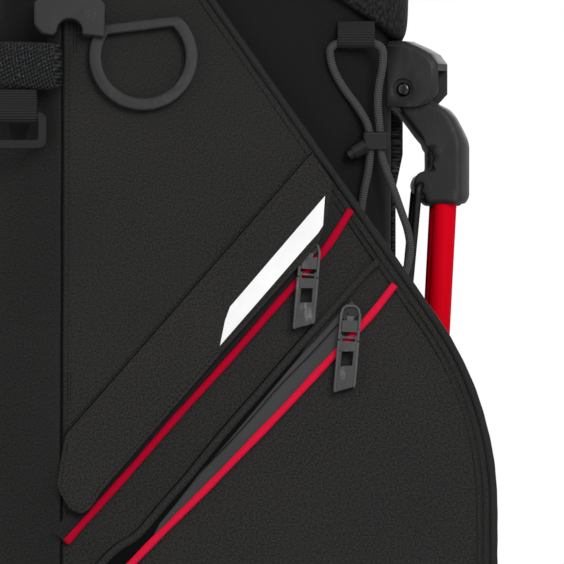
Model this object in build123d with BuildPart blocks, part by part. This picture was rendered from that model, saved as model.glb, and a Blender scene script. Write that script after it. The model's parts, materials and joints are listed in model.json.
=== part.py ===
from build123d import *
import os
from math import atan2, cos, degrees, radians, sin, sqrt, tan

os.makedirs("parts", exist_ok=True)

# Golf stand bag, millimetres, +Z up, standing upright on the ground plane Z = 0.
# +X is the leg side, -X the strap side, -Y the left side and +Y the right side.

# ---- Bag body ----
body_half_x = 128.0
body_half_y = 95.0
body_corner = 42.0
foot_half_x = 112.0
foot_half_y = 85.0
taper_bottom = 50.0
taper_top = 560.0
shell_top = 872.0
shell_wall = 3.0
seat_gap = 0.3

# ---- Boot and hinged foot plate ----
boot_wall = 4.5
boot_height = 80.0
boot_floor = 5.0
boot_edge_radius = 5.0
foot_hinge_inset = 46.0
foot_hinge_x = foot_half_x - foot_hinge_inset
foot_hinge_z = 8.0
foot_pin_radius = 3.0
knuckle_radius = 6.0
knuckle_width = 24.0
knuckle_spacing = 46.0
ear_width = 18.0
foot_tilt = 20.0
tilt_spare = 5.0
wedge_height = 14.0
plate_thickness = 6.0
plate_back_gap = 8.0
plate_margin = 1.0
lug_thickness = 8.0
lug_half_length = 6.5
lug_height = 21.0
lug_slot_width = 7.0
lug_slot_drop = 4.2
lug_slot_shift = 0.33
pin_play = 0.06

# ---- Collar, cuff and handles ----
collar_height = 14.0
collar_skirt = 30.0
collar_wall = 4.0
rim_reach = 9.0
bar_width = 6.0
bar_height = 26.0
divider_offset = 42.0
divider_sheet = 1.6
divider_bottom = 70.0
cuff_thickness = 11.0
cuff_height = 32.0
cuff_bottom = shell_top - cuff_height
cuff_dip_height = 71.4
cuff_dip_bottom = shell_top - cuff_dip_height
cuff_dip_run = 56.0
cuff_dip_start = body_half_x - cuff_dip_run
handle_reach = 42.0
handle_half_span = 52.0
handle_bar = 14.0
handle_height = 13.0
stay_radius = 3.0
stay_spacing = 80.0

# ---- Legs ----
leg_splay = 20.0
leg_swing = 30.0
pivot_reach = 11.5
pivot_inset = 33.0
pivot_drop = 103.4
pivot_x = body_half_x + pivot_reach
pivot_y = body_half_y - pivot_inset
pivot_z = shell_top - pivot_drop
rivet_radius = 3.0
rivet_head_radius = 4.6
rivet_head_height = 2.6
rivet_recess_radius = 6.9
rivet_recess_depth = 2.0
bracket_half_width = 13.0
bracket_slot_half = 8.6
elbow_half_width = 8.0
elbow_head_radius = 10.0
socket_half_width = 10.6
tube_radius = 7.5
tube_wall = 1.2
tube_lean = 3.2
tube_top_x = 24.5
tube_top_y = -75.5
tube_insert = 30.0
tube_end_z = 64.0
tube_length = (pivot_z + tube_top_y - tube_end_z) / cos(radians(tube_lean))
foot_radius = 10.5
foot_length = 42.0
foot_tube_depth = 30.0
boss_x = 11.6
boss_y = -62.1
boss_radius = 6.8
rod_radius = 2.5
rod_side = 14.5
rod_bend_x = -6.2
rod_bend_y = -240.0
rod_hook_depth = 19.0
rod_hook_radius = 4.5
rod_bend_radius = 240.0
lug_reach = 6.0
lug_x = foot_half_x + lug_reach
lug_z = 14.0

# ---- Side pockets ----
face_drop = 34.0
face_reach = 6.0
face_fall = 423.0
face_lean = 7.0
face_top_z = shell_top - face_drop
face_top_y = body_half_y + face_reach
face_bottom_z = face_top_z - face_fall
pocket_round_z = 250.0
pocket_bottom_z = 105.0
pocket_bottom_reach = 17.0
pocket_root_depth = 45.0
pocket_reach = 64.0
pocket_edge_drop = 342.3
pocket_line_x = 2.5
pocket_line_reach = 26.0
pocket_line_drop = 217.0
pocket_bottom_y = body_half_y + pocket_bottom_reach
pocket_root_y = body_half_y - pocket_root_depth
pocket_edge_x = body_half_x + pocket_reach
pocket_edge_z = face_top_z - pocket_edge_drop
pocket_line_top = (pocket_line_x, face_top_z)
pocket_line_bottom = (body_half_x + pocket_line_reach, face_top_z - pocket_line_drop)
pocket_side_bottom_z = 300.0
pocket_corner = (body_half_x, pocket_bottom_z)
pocket_back_gap = 6.0
pocket_overhang_inset = 1.0
pocket_gusset_inset_x = 15.0
pocket_gusset_inset_y = 11.0
pocket_back_y = body_half_y + pocket_back_gap
pocket_overhang_x = body_half_x - pocket_overhang_inset
pocket_gusset_x = body_half_x - pocket_gusset_inset_x
pocket_gusset_y = body_half_y - pocket_gusset_inset_y
seam_inset = 44.0
seam_x = seam_inset - body_half_x
corner_facet_reach = 3.0
corner_facet_x = -body_half_x - corner_facet_reach
corner_facet_depth = 45.0
rim_width = 5.0

# ---- Flap, zips, pipings and pullers on the left pocket ----
# A place on the pocket face is its distance right of the side seam and its height over the face's top.
upper_piping_bend = [(185.0, -148.0), (170.0, -172.5)]
upper_piping_top = (159.0, -185.0)
upper_piping_end = (3.0, -360.5)
upper_zip_offset = 7.0
upper_zip_lead = 15.0
upper_slider_lead = 8.0
lower_zip_top = (180.0, -220.0)
lower_zip_end = (4.0, -407.0)
zip_lip_points = [(202.4, -182.0), (178.1, -201.2), (152.5, -224.9), (109.6, -276.1), (71.2, -322.8), (4.0, -396.5)]
lower_piping_points = [(213.0, -196.1), (192.8, -221.7), (109.6, -309.5), (54.6, -363.8), (4.0, -417.9)]
piping_width = 5.0
piping_height = 4.2
lip_width = 5.0
lip_height = 3.4
tape_width = 8.4
tape_thickness = 1.0
teeth_width = 2.4
teeth_rise = 0.7
flap_rise = 9.8
flap_skin = 1.6
flap_hem_width = 4.0
flap_edge_offset = 4.8
flap_corner = [(13.0, -20.0), (10.5, -39.0), (5.0, -58.0)]
flap_tail = [(-11.5, -8.0), (-20.5, -4.0), (-24.5, 6.0)]
flap_span = 600.0
flap_seam_end = (2.1, -292.1)
flap_seam_top = (160.2, -111.0)
flap_tail_x = 24.5
label_corner = (101.3, -239.6)
label_outline = [
    (3.2, 19.8),
    (6.4, 28.8),
    (14.7, 38.4),
    (67.2, 99.8),
    (65.9, 80.6),
    (62.7, 75.5),
    (55.7, 67.8),
    (0.0, 3.6),
]
label_thickness = 0.6
lower_slider_place = (185.0, -214.7)
slider_width = 8.0
slider_length = 12.0
slider_height = 2.8
slider_lift = 2.0
post_radius = 1.4
post_height = 2.2
link_gap = 0.3
link_thickness = 1.5
link_width = 4.4
link_length = 16.0
link_pin_radius = 1.0
puller_turn = -5.0
puller_level = 6.4
puller_eye_width = 8.0
puller_width = 14.0
puller_length = 39.0
puller_eye_reach = 1.9
puller_eye_slope = 1.0
puller_edge = 0.45
puller_thickness = 3.0
window_width = 7.5
window_height = 7.0

# ---- Towel ring and its connector ----
ring_x = 52.0
ring_z = -50.0
ring_radius = 35.0
ring_band = 8.0
ring_thickness = 4.0
ring_rise = 3.0
ring_roll = 7.0
ring_bar_top = 23.5
ring_bar_height = 6.5
ring_play = 0.8
ring_edge = 0.8
ring_front_play = 3.0
connector_depth = 12.5

# ---- Straps ----
strap_thickness = 12.0
strap_drop = 39.0
strap_band_height = 31.0
strap_pad_length = 329.0
strap_pad_width = 56.0
strap_pad_y = 36.0
strap_pad_corner = 18.0
strap_front = 10.4
strap_top = face_top_z - strap_drop
strap_bottom = strap_top - strap_band_height
webbing_width = 25.0
webbing_thickness = 2.4
loop_bar_radius = 2.5
loop_height = 23.0
loop_inset = 15.0
loop_reach = 14.0
loop_drop = 17.5
loop_x = loop_inset - body_half_x
loop_y = body_half_y + loop_reach
loop_bar_z = strap_bottom - loop_drop
webbing_back = 3.6
strap_stand_off = 24.0
strap_turn_y = 27.0
strap_outer_x = -body_half_x - strap_stand_off
strap_seat_inset = 3.5

# ---- Elastic cord and its lock ----
cord_diameter = 5.4
lock_width = 16.5
lock_depth = 11.0
lock_height = 11.0
lock_z = 735.0
strand_y = -95.2
barrel_radius = 5.0
barrel_forward = 4.6
barrel_length = 9.0
button_radius = 3.6
button_travel = 3.0
button_out = 5.0
button_depth = 5.0
barrel_inset = 2.0
barrel_drop = 3.0
barrel_dip = 0.6
cord_tab_inset = 23.3
cord_tab_reach = 4.6
cord_tab_drop = 39.0
cord_tab_x = body_half_x - cord_tab_inset
cord_tab_y = body_half_y + cord_tab_reach
cord_tab_z = face_top_z - cord_tab_drop
cord_tab_width = 24.0
cord_tab_height = 12.0
cord_tab_thickness = 1.8

# ---- Hip pad and ball pocket ----
hip_half_width = 38.0
hip_drop = 115.0
hip_height = 377.0
hip_top = shell_top - hip_drop
hip_bottom = hip_top - hip_height
hip_thickness = 3.0
hip_bulge = 8.0
ball_depth = 48.0
ball_half_width = 72.0
ball_bottom = 110.0
ball_top = 430.0
ball_corner = 22.0
ball_edge_radius = 14.0
ball_zip_z = 398.0
ball_zip_half = 54.0
ball_slider_start = -44.0


def export(builder, name):
    """Label a finished sub-part and write it as its own STEP file."""
    builder.part.label = name
    export_step(builder.part, f"parts/{name}.step")


def bag_half(height, foot_size, body_size):
    """Return the half width of the tapered bag at a height."""
    share = (min(height, taper_top) - taper_bottom) / (taper_top - taper_bottom)
    return foot_size + (body_size - foot_size) * share


def bag_envelope(grow, bottom, top):
    """Return the tapered outer form of the bag, grown sideways, between two heights."""
    low_x = bag_half(bottom, foot_half_x, body_half_x) + grow
    low_y = bag_half(bottom, foot_half_y, body_half_y) + grow
    with BuildPart() as envelope:
        if bottom < taper_top:
            with BuildSketch(Plane.XY.offset(bottom)):
                RectangleRounded(2 * low_x, 2 * low_y, body_corner + grow)
            with BuildSketch(Plane.XY.offset(taper_top)):
                RectangleRounded(2 * (body_half_x + grow), 2 * (body_half_y + grow), body_corner + grow)
            loft()
        if top > taper_top:
            with BuildSketch(Plane.XY.offset(max(bottom, taper_top))):
                RectangleRounded(2 * (body_half_x + grow), 2 * (body_half_y + grow), body_corner + grow)
            extrude(amount=top - max(bottom, taper_top))
    return envelope.part


# ================= Boot, foot plate and hinge pin =================
boot_half_x = foot_half_x + seat_gap + boot_wall
boot_half_y = foot_half_y + seat_gap + boot_wall
boot_corner = body_corner + seat_gap + boot_wall
wedge_start_x = foot_hinge_x - plate_back_gap
wedge_slope = tan(radians(foot_tilt + tilt_spare))
wedge_end_x = boot_half_x + 10
wedge_end_z = wedge_height + (wedge_end_x - wedge_start_x) * wedge_slope
ear_places = (-knuckle_spacing, 0.0, knuckle_spacing)
knuckle_places = (-knuckle_spacing / 2, knuckle_spacing / 2)


def slanted_band(low, high):
    """Draw the side view of a slanted slab over the foot plate, in the XZ plane."""
    Polygon(
        (wedge_start_x, low),
        (wedge_start_x, wedge_height + high),
        (wedge_end_x, wedge_end_z + high),
        (wedge_end_x, low),
        align=None,
    )


with BuildPart() as boot:
    with BuildSketch():
        RectangleRounded(2 * boot_half_x, 2 * boot_half_y, boot_corner)
    extrude(amount=boot_height)
    fillet(boot.faces().sort_by(Axis.Z)[0].edges(), boot_edge_radius)
    fillet(boot.faces().sort_by(Axis.Z)[-1].outer_wire().edges(), 1.5)
    boot_outer = boot.part
    add(bag_envelope(seat_gap, taper_bottom, taper_top), mode=Mode.SUBTRACT)
    with BuildSketch(Plane.XY.offset(boot_floor)):
        RectangleRounded(2 * (foot_half_x + seat_gap), 2 * (foot_half_y + seat_gap), body_corner + seat_gap)
    extrude(amount=taper_bottom - boot_floor, mode=Mode.SUBTRACT)
    # Sloping floor over the foot plate, then the wedge cut away below it.
    with BuildPart(mode=Mode.PRIVATE) as sloping_floor:
        with BuildSketch(Plane.XZ):
            slanted_band(0.0, boot_floor)
        extrude(amount=boot_half_y, both=True)
        add(boot_outer, mode=Mode.INTERSECT)
    add(sloping_floor.part)
    with BuildSketch(Plane.XZ):
        slanted_band(-1.0, 0.0)
    extrude(amount=boot_half_y + 1, both=True, mode=Mode.SUBTRACT)
    # Bearing ears that carry the hinge pin.
    for ear_y in ear_places:
        with BuildSketch(Plane.XZ.offset(-ear_y)):
            with BuildLine():
                Polyline(
                    (foot_hinge_x - knuckle_radius, foot_hinge_z),
                    (foot_hinge_x - knuckle_radius, wedge_height + boot_floor),
                    (foot_hinge_x + knuckle_radius, wedge_height + boot_floor + 2),
                    (foot_hinge_x + knuckle_radius, foot_hinge_z),
                )
                ThreePointArc(
                    (foot_hinge_x + knuckle_radius, foot_hinge_z),
                    (foot_hinge_x, foot_hinge_z - knuckle_radius),
                    (foot_hinge_x - knuckle_radius, foot_hinge_z),
                )
            make_face()
            with Locations((foot_hinge_x, foot_hinge_z)):
                Circle(foot_pin_radius + pin_play, mode=Mode.SUBTRACT)
        extrude(amount=ear_width / 2, both=True)
export(boot, "boot")

pin_half = knuckle_spacing + ear_width / 2 + 1.0
with BuildPart() as foot_hinge_pin:
    with BuildSketch(Plane.XZ):
        with Locations((foot_hinge_x, foot_hinge_z)):
            Circle(foot_pin_radius)
    extrude(amount=pin_half, both=True)
export(foot_hinge_pin, "foot_hinge_pin")


# ---- Leg frame: x outward, y up, z towards the side the leg splays to ----
splay_cos = cos(radians(leg_splay))
splay_sin = sin(radians(leg_splay))
leg_plane = Plane(
    origin=(pivot_x, -pivot_y, pivot_z),
    x_dir=(splay_cos, -splay_sin, 0),
    z_dir=(-splay_sin, -splay_cos, 0),
)
rod_foot_x = (lug_x - pivot_x + rod_side * splay_sin) / splay_cos
rod_foot_y = lug_z - pivot_z
lug_inset = rod_side - rod_radius - 5.0 - lug_thickness / 2
lug_plane = Plane(
    origin=leg_plane.from_local_coords(Vector(rod_foot_x, rod_foot_y, lug_inset)),
    x_dir=leg_plane.x_dir,
    z_dir=leg_plane.z_dir,
)

plate_start_x = foot_hinge_x + knuckle_radius + 2.0
with BuildPart() as foot_plate:
    with BuildSketch():
        RectangleRounded(
            2 * (boot_half_x - plate_margin),
            2 * (boot_half_y - plate_margin),
            boot_corner - plate_margin,
        )
        with Locations((plate_start_x - boot_half_x, 0)):
            Rectangle(2 * boot_half_x, 2 * boot_half_y, mode=Mode.SUBTRACT)
    extrude(amount=plate_thickness)
    for side in (-1, 1):
        with BuildSketch():
            Polygon(
                (lug_plane.origin.X - 24, side * 44),
                (lug_plane.origin.X + 6, side * 44),
                (lug_plane.origin.X + 7, side * (-lug_plane.origin.Y + 5)),
                (lug_plane.origin.X - 10, side * (-lug_plane.origin.Y + 9)),
                align=None,
            )
        extrude(amount=plate_thickness)
    # Knuckles on the hinge pin.
    for knuckle_y in knuckle_places:
        with BuildSketch(Plane.XZ.offset(-knuckle_y)):
            with Locations((foot_hinge_x, foot_hinge_z)):
                Circle(knuckle_radius)
            Polygon(
                (foot_hinge_x, foot_hinge_z - knuckle_radius),
                (foot_hinge_x, foot_hinge_z),
                (plate_start_x + 1, plate_thickness),
                (plate_start_x + 1, 0),
                align=None,
            )
        extrude(amount=knuckle_width / 2, both=True)
    with BuildSketch(Plane.XZ):
        with Locations((foot_hinge_x, foot_hinge_z)):
            Circle(foot_pin_radius + pin_play)
    extrude(amount=boot_half_y, both=True, mode=Mode.SUBTRACT)
    # Ribs on the plate and the two upright lugs that the rods hook into.
    with BuildSketch(Plane.XY.offset(plate_thickness)):
        with Locations((plate_start_x + 12, -30), (plate_start_x + 12, 0), (plate_start_x + 12, 30)):
            Rectangle(18, 3)
    extrude(amount=2.0)
    for side in (-1, 1):
        with BuildPart(mode=Mode.PRIVATE) as lug:
            with BuildSketch(lug_plane):
                with Locations((0, lug_height / 2 - lug_z)):
                    RectangleRounded(2 * lug_half_length, lug_height, 3)
                with Locations((-lug_slot_shift, -lug_slot_drop / 2)):
                    SlotCenterToCenter(
                        lug_slot_drop,
                        lug_slot_width,
                        rotation=90,
                        mode=Mode.SUBTRACT,
                    )
            extrude(amount=lug_thickness / 2, both=True)
            if side > 0:
                mirror(about=Plane.XZ)
                split(bisect_by=Plane.XZ, keep=Keep.BOTTOM)
        add(lug.part)
export(foot_plate, "foot_plate")


# ================= Shell, collar, dividers, cuff and handles =================
with BuildPart() as shell:
    add(bag_envelope(0.0, taper_bottom, shell_top))
    add(bag_envelope(-shell_wall, taper_bottom, shell_top), mode=Mode.SUBTRACT)
export(shell, "shell")

skirt_grow = -shell_wall - seat_gap
well_grow = skirt_grow - collar_wall
well_half_x = body_half_x + well_grow
well_half_y = body_half_y + well_grow
collar_top = shell_top + seat_gap + collar_height
divider_lines = (-divider_offset, divider_offset)
with BuildPart() as collar:
    add(bag_envelope(skirt_grow, shell_top - collar_skirt, shell_top + seat_gap))
    with BuildSketch(Plane.XY.offset(shell_top + seat_gap)):
        RectangleRounded(
            2 * (body_half_x + rim_reach),
            2 * (body_half_y + rim_reach),
            body_corner + rim_reach,
        )
    extrude(amount=collar_height)
    fillet(collar.faces().sort_by(Axis.Z)[-1].edges(), 5.0)
    add(bag_envelope(well_grow, shell_top - collar_skirt, collar_top), mode=Mode.SUBTRACT)
    # Crossing bars that part the mouth into six club wells.
    with BuildSketch(Plane.XY.offset(collar_top - 3 - bar_height)):
        Rectangle(2 * well_half_x + 1, bar_width)
        with Locations((divider_lines[0], 0), (divider_lines[1], 0)):
            Rectangle(bar_width, 2 * well_half_y + 1)
    extrude(amount=bar_height)
export(collar, "collar")

divider_top = collar_top - 3 - bar_height - seat_gap
with BuildPart() as divider_panels:
    with BuildSketch(Plane.XY.offset(divider_bottom)):
        Rectangle(2 * body_half_x, divider_sheet)
        with Locations((divider_lines[0], 0), (divider_lines[1], 0)):
            Rectangle(divider_sheet, 2 * body_half_y)
    extrude(amount=divider_top - divider_bottom)
    add(bag_envelope(-shell_wall - seat_gap, divider_bottom, divider_top), mode=Mode.INTERSECT)
    # Notch under the collar's skirt.
    with BuildPart(mode=Mode.PRIVATE) as skirt_clearance:
        add(bag_envelope(5.0, shell_top - collar_skirt - seat_gap, shell_top))
        add(bag_envelope(well_grow - seat_gap, taper_top, shell_top), mode=Mode.SUBTRACT)
    add(skirt_clearance.part, mode=Mode.SUBTRACT)
export(divider_panels, "divider_panels")

cuff_grow = seat_gap + cuff_thickness
cuff_top = shell_top
cuff_dip_x = body_half_x + cuff_grow
with BuildPart() as top_cuff:
    add(bag_envelope(cuff_grow, taper_top, cuff_top))
    fillet(top_cuff.faces().sort_by(Axis.Z)[-1].edges(), 3.0)
    add(bag_envelope(seat_gap, taper_top, cuff_top), mode=Mode.SUBTRACT)
    # The lower edge is level, and dips over the leg bracket at the +X end.
    with BuildSketch(Plane.XZ):
        Polygon(
            (-cuff_dip_x - 1, cuff_bottom),
            (-cuff_dip_x - 1, cuff_top + 1),
            (cuff_dip_x + 1, cuff_top + 1),
            (cuff_dip_x + 1, cuff_dip_bottom),
            (cuff_dip_x - 3, cuff_dip_bottom),
            (cuff_dip_start, cuff_bottom),
            align=None,
        )
    extrude(amount=body_half_y + cuff_grow + 1, both=True, mode=Mode.INTERSECT)
export(top_cuff, "top_cuff")

handle_start_x = body_half_x + rim_reach
for handle_name, handle_side in (("front_handle", 1), ("rear_handle", -1)):
    with BuildPart() as handle:
        with BuildSketch(Plane.XY.offset(shell_top + seat_gap)):
            with Locations((handle_side * handle_start_x, 0)):
                RectangleRounded(2 * handle_reach, 2 * handle_half_span, 20)
                RectangleRounded(
                    2 * (handle_reach - handle_bar),
                    2 * (handle_half_span - handle_bar),
                    12,
                    mode=Mode.SUBTRACT,
                )
                with Locations((-handle_side * handle_reach, 0)):
                    Rectangle(2 * handle_reach, 2 * handle_half_span, mode=Mode.SUBTRACT)
        extrude(amount=handle_height)
        long_edges = handle.edges().filter_by(Axis.Z, reverse=True)
        root_plane_x = handle_side * handle_start_x
        grip_edges = [
            edge for edge in long_edges if abs(edge.center().X - root_plane_x) > 1.0
        ]
        fillet(grip_edges, 4.0)
    export(handle, handle_name)

# Two stays inside the strap side of the shell, from the boot up to the collar's skirt.
stay_top_x = -(body_half_x - shell_wall - seat_gap - stay_radius - 1.0)
stay_foot_x = -(foot_half_x - shell_wall - seat_gap - stay_radius - 1.0)
with BuildPart() as stay_rods:
    for stay_y in (-stay_spacing / 2, stay_spacing / 2):
        with BuildLine() as stay_path:
            Polyline(
                (stay_foot_x, stay_y, taper_bottom),
                (stay_top_x, stay_y, taper_top),
                (stay_top_x, stay_y, shell_top - collar_skirt - seat_gap),
            )
        with BuildSketch(Plane(origin=stay_path.line @ 0, z_dir=stay_path.line % 0)):
            Circle(stay_radius)
        sweep(path=stay_path.line, transition=Transition.RIGHT)
export(stay_rods, "stay_rods")


# ================= Legs, brackets, rivets and rods =================
def export_pair(builder, name):
    """Write a left-hand piece and its mirror image across the XZ plane."""
    export(builder, f"{name}_left")
    with BuildPart() as twin:
        mirror(builder.part, about=Plane.XZ)
    export(twin, f"{name}_right")


def in_leg_frame(edge):
    """Return an edge's centre in the left leg's frame."""
    return leg_plane.to_local_coords(edge.center())


with BuildPart() as leg_bracket:
    with BuildSketch(leg_plane):
        Polygon(
            (-30.0, 32.0),
            (0.0, 31.4),
            (11.6, 26.4),
            (18.4, 22.6),
            (23.0, 16.5),
            (23.0, -3.0),
            (17.0, -9.0),
            (10.0, -11.4),
            (-30.0, -11.4),
            align=None,
        )
    extrude(amount=bracket_half_width, both=True)
    rim_edges = [
        edge
        for edge in leg_bracket.edges()
        if abs(abs(in_leg_frame(edge).Z) - bracket_half_width) < 0.1
        and (in_leg_frame(edge).Y > 15 or in_leg_frame(edge).X > 15)
        and in_leg_frame(edge).X > -20
    ]
    chamfer(rim_edges, 3.4)
    # The slot that the elbow's head swings in, open downwards and outwards.
    with BuildSketch(leg_plane):
        Circle(elbow_head_radius + 2.0)
        Polygon(
            (-elbow_head_radius - 2.0, 0),
            (-elbow_head_radius - 2.0, -20),
            (30, -20),
            (30, elbow_head_radius + 2.0),
            (0, elbow_head_radius + 2.0),
            align=None,
        )
    extrude(amount=bracket_slot_half, both=True, mode=Mode.SUBTRACT)
    with BuildSketch(leg_plane):
        Circle(rivet_radius + pin_play)
    extrude(amount=bracket_half_width + 1, both=True, mode=Mode.SUBTRACT)
    for face_side in (-1, 1):
        with BuildSketch(leg_plane.offset(face_side * bracket_half_width)):
            Circle(rivet_recess_radius)
        extrude(amount=-face_side * rivet_recess_depth, mode=Mode.SUBTRACT)
    add(bag_envelope(seat_gap, taper_bottom, shell_top), mode=Mode.SUBTRACT)
export_pair(leg_bracket, "leg_bracket")

with BuildPart() as leg_rivet:
    with BuildSketch(leg_plane):
        Circle(rivet_radius)
    extrude(amount=bracket_half_width - rivet_recess_depth, both=True)
    for face_side in (-1, 1):
        with BuildSketch(leg_plane.offset(face_side * (bracket_half_width - rivet_recess_depth))):
            Circle(rivet_head_radius)
        extrude(amount=face_side * rivet_head_height)
    head_edges = [
        edge
        for edge in leg_rivet.edges()
        if abs(in_leg_frame(edge).Z) > bracket_half_width - rivet_recess_depth + 1.0
    ]
    fillet(head_edges, rivet_head_height - 0.4)
export_pair(leg_rivet, "leg_rivet")

tube_down = Vector(-sin(radians(tube_lean)), -cos(radians(tube_lean)), 0)
tube_mouth = Vector(tube_top_x, tube_top_y, 0)
tube_start = tube_mouth - tube_down * tube_insert
tube_end = tube_mouth + tube_down * tube_length
foot_end = tube_end + tube_down * (foot_length - foot_tube_depth)


def leg_point(local):
    """Return the world place of a point in the left leg's frame."""
    return leg_plane.from_local_coords(local)


def along_tube(local):
    """Return a plane square to the leg tube, at a point in the leg's frame."""
    end_point = leg_point(local + tube_down)
    return Plane(origin=leg_point(local), z_dir=end_point - leg_point(local))


with BuildPart() as leg_elbow:
    # The socket that grips the tube, rounded on both broad faces.
    with BuildSketch(leg_plane):
        Polygon(
            (14.8, -33.0),
            (36.5, -26.5),
            (39.5, -38.0),
            (39.0, -45.0),
            (37.4, tube_top_y),
            (12.6, tube_top_y),
            (14.8, -50.0),
            align=None,
        )
    extrude(amount=socket_half_width, both=True)
    socket_edges = [
        edge
        for edge in leg_elbow.edges()
        if abs(abs(in_leg_frame(edge).Z) - socket_half_width) < 0.1
    ]
    fillet(socket_edges, 2.4)
    # The bent neck up to the round head on the rivet.
    with BuildSketch(leg_plane):
        Circle(elbow_head_radius)
        with BuildLine():
            Polyline((-8.6, -5.0), (-6.0, -11.5), (14.8, -35.5), (14.8, -52.0), (30.0, -52.0), (38.4, -30.0))
            Line((38.4, -30.0), (36.8, -25.6))
            Line((36.8, -25.6), (30.6, -15.4))
            Polyline((30.6, -15.4), (24.5, -10.2), (17.7, -8.4), (9.4, 3.4), (-8.6, -5.0))
        make_face()
    extrude(amount=elbow_half_width, both=True)
    # The side boss that the actuator rod hooks into.
    with BuildSketch(leg_plane):
        with Locations((boss_x, boss_y)):
            Circle(boss_radius)
    extrude(amount=elbow_half_width + 1.0, both=True)
    with BuildSketch(leg_plane):
        with Locations((boss_x, boss_y)):
            Circle(rod_radius + pin_play)
        Circle(rivet_radius + pin_play)
    extrude(amount=socket_half_width + 2, both=True, mode=Mode.SUBTRACT)
    with BuildSketch(along_tube(tube_start)):
        Circle(tube_radius)
    extrude(amount=tube_insert + 10, mode=Mode.SUBTRACT)
    # Relief pocket beside the neck.
    for face_side in (-1, 1):
        with BuildSketch(leg_plane.offset(face_side * elbow_half_width)):
            Polygon((1.5, -14.0), (20.0, -13.5), (24.0, -24.0), (18.0, -31.0), align=None)
        extrude(amount=-face_side * 1.4, mode=Mode.SUBTRACT)
export_pair(leg_elbow, "leg_elbow")

with BuildPart() as leg_tube:
    with BuildSketch(along_tube(tube_start)):
        Circle(tube_radius)
        Circle(tube_radius - tube_wall, mode=Mode.SUBTRACT)
    extrude(amount=tube_insert + tube_length)
export_pair(leg_tube, "leg_tube")

with BuildPart() as leg_foot:
    with BuildSketch(along_tube(tube_end - tube_down * foot_tube_depth)):
        Circle(foot_radius)
    extrude(amount=foot_length)
    sole_edge = leg_foot.edges().sort_by(Axis.Z)[0]
    fillet(sole_edge, 4.0)
    fillet(leg_foot.edges().sort_by(Axis.Z)[-1], 1.0)
    with BuildSketch(along_tube(tube_end - tube_down * foot_tube_depth)):
        Circle(tube_radius)
    extrude(amount=foot_tube_depth, mode=Mode.SUBTRACT)
    for groove in (8.0, 14.0, 20.0):
        with BuildSketch(along_tube(tube_end - tube_down * (foot_tube_depth - groove))):
            Circle(foot_radius + 1)
            Circle(foot_radius - 0.8, mode=Mode.SUBTRACT)
        extrude(amount=2.0, mode=Mode.SUBTRACT)
export_pair(leg_foot, "leg_foot")

with BuildPart() as actuator_rod:
    with BuildLine() as rod_path:
        FilletPolyline(
            leg_point(Vector(boss_x, boss_y, rod_side - rod_hook_depth)),
            leg_point(Vector(boss_x, boss_y, rod_side)),
            leg_point(Vector(rod_bend_x, rod_bend_y, rod_side)),
            leg_point(Vector(rod_foot_x, rod_foot_y, rod_side)),
            leg_point(Vector(rod_foot_x, rod_foot_y, rod_side - rod_hook_depth)),
            radius=(rod_hook_radius, rod_bend_radius, rod_hook_radius),
        )
    with BuildSketch(Plane(origin=rod_path.line @ 0, z_dir=rod_path.line % 0)):
        Circle(rod_radius)
    sweep(path=rod_path.line)
export_pair(actuator_rod, "actuator_rod")


# ================= Side pockets =================
lean_cos = cos(radians(face_lean))
lean_sin = sin(radians(face_lean))
face_down = tan(radians(face_lean))
face_bottom_y = face_top_y + face_down * (face_top_z - face_bottom_z)
face_plane = Plane(
    origin=(0, -face_top_y, face_top_z),
    x_dir=(1, 0, 0),
    z_dir=(0, -lean_cos, lean_sin),
)


def on_face(x, z):
    """Return sketch coordinates on the leaning face for a place right of the seam and over its top."""
    return (seam_x + x, z / lean_cos)


def pocket_front():
    """Draw the pocket's front line in side view, from top to bottom, in the YZ plane."""
    Line((-face_top_y, face_top_z), (-face_bottom_y, face_bottom_z))
    TangentArc(
        (-face_bottom_y, face_bottom_z),
        (-face_bottom_y, pocket_round_z),
        tangent=(-lean_sin, -lean_cos),
    )
    TangentArc(
        (-face_bottom_y, pocket_round_z),
        (-pocket_bottom_y, pocket_bottom_z),
        tangent=(lean_sin, -lean_cos),
    )


line_fall = (pocket_line_top[1] - pocket_line_bottom[1]) / (pocket_line_bottom[0] - pocket_line_top[0])


def pocket_edge():
    """Draw the pocket's free edge in front view, from top to bottom, in the XZ plane."""
    Line(pocket_line_top, pocket_line_bottom)
    TangentArc(pocket_line_bottom, (pocket_edge_x, pocket_edge_z), tangent=(1, -line_fall))
    Line((pocket_edge_x, pocket_edge_z), (pocket_edge_x, pocket_side_bottom_z))
    TangentArc((pocket_edge_x, pocket_side_bottom_z), pocket_corner, tangent=(0, -1))


with BuildPart() as pocket_rim:
    with BuildSketch(Plane.XZ.offset(pocket_bottom_y - 20)):
        with BuildLine() as edge_line:
            pocket_edge()
        trace(edge_line.line, line_width=rim_width)
    extrude(amount=80)
    with BuildSketch(Plane.YZ):
        with BuildLine() as front_line:
            pocket_front()
        trace(front_line.line, line_width=rim_width)
    extrude(amount=pocket_edge_x + 20, mode=Mode.INTERSECT)
export_pair(pocket_rim, "pocket_rim")

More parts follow.
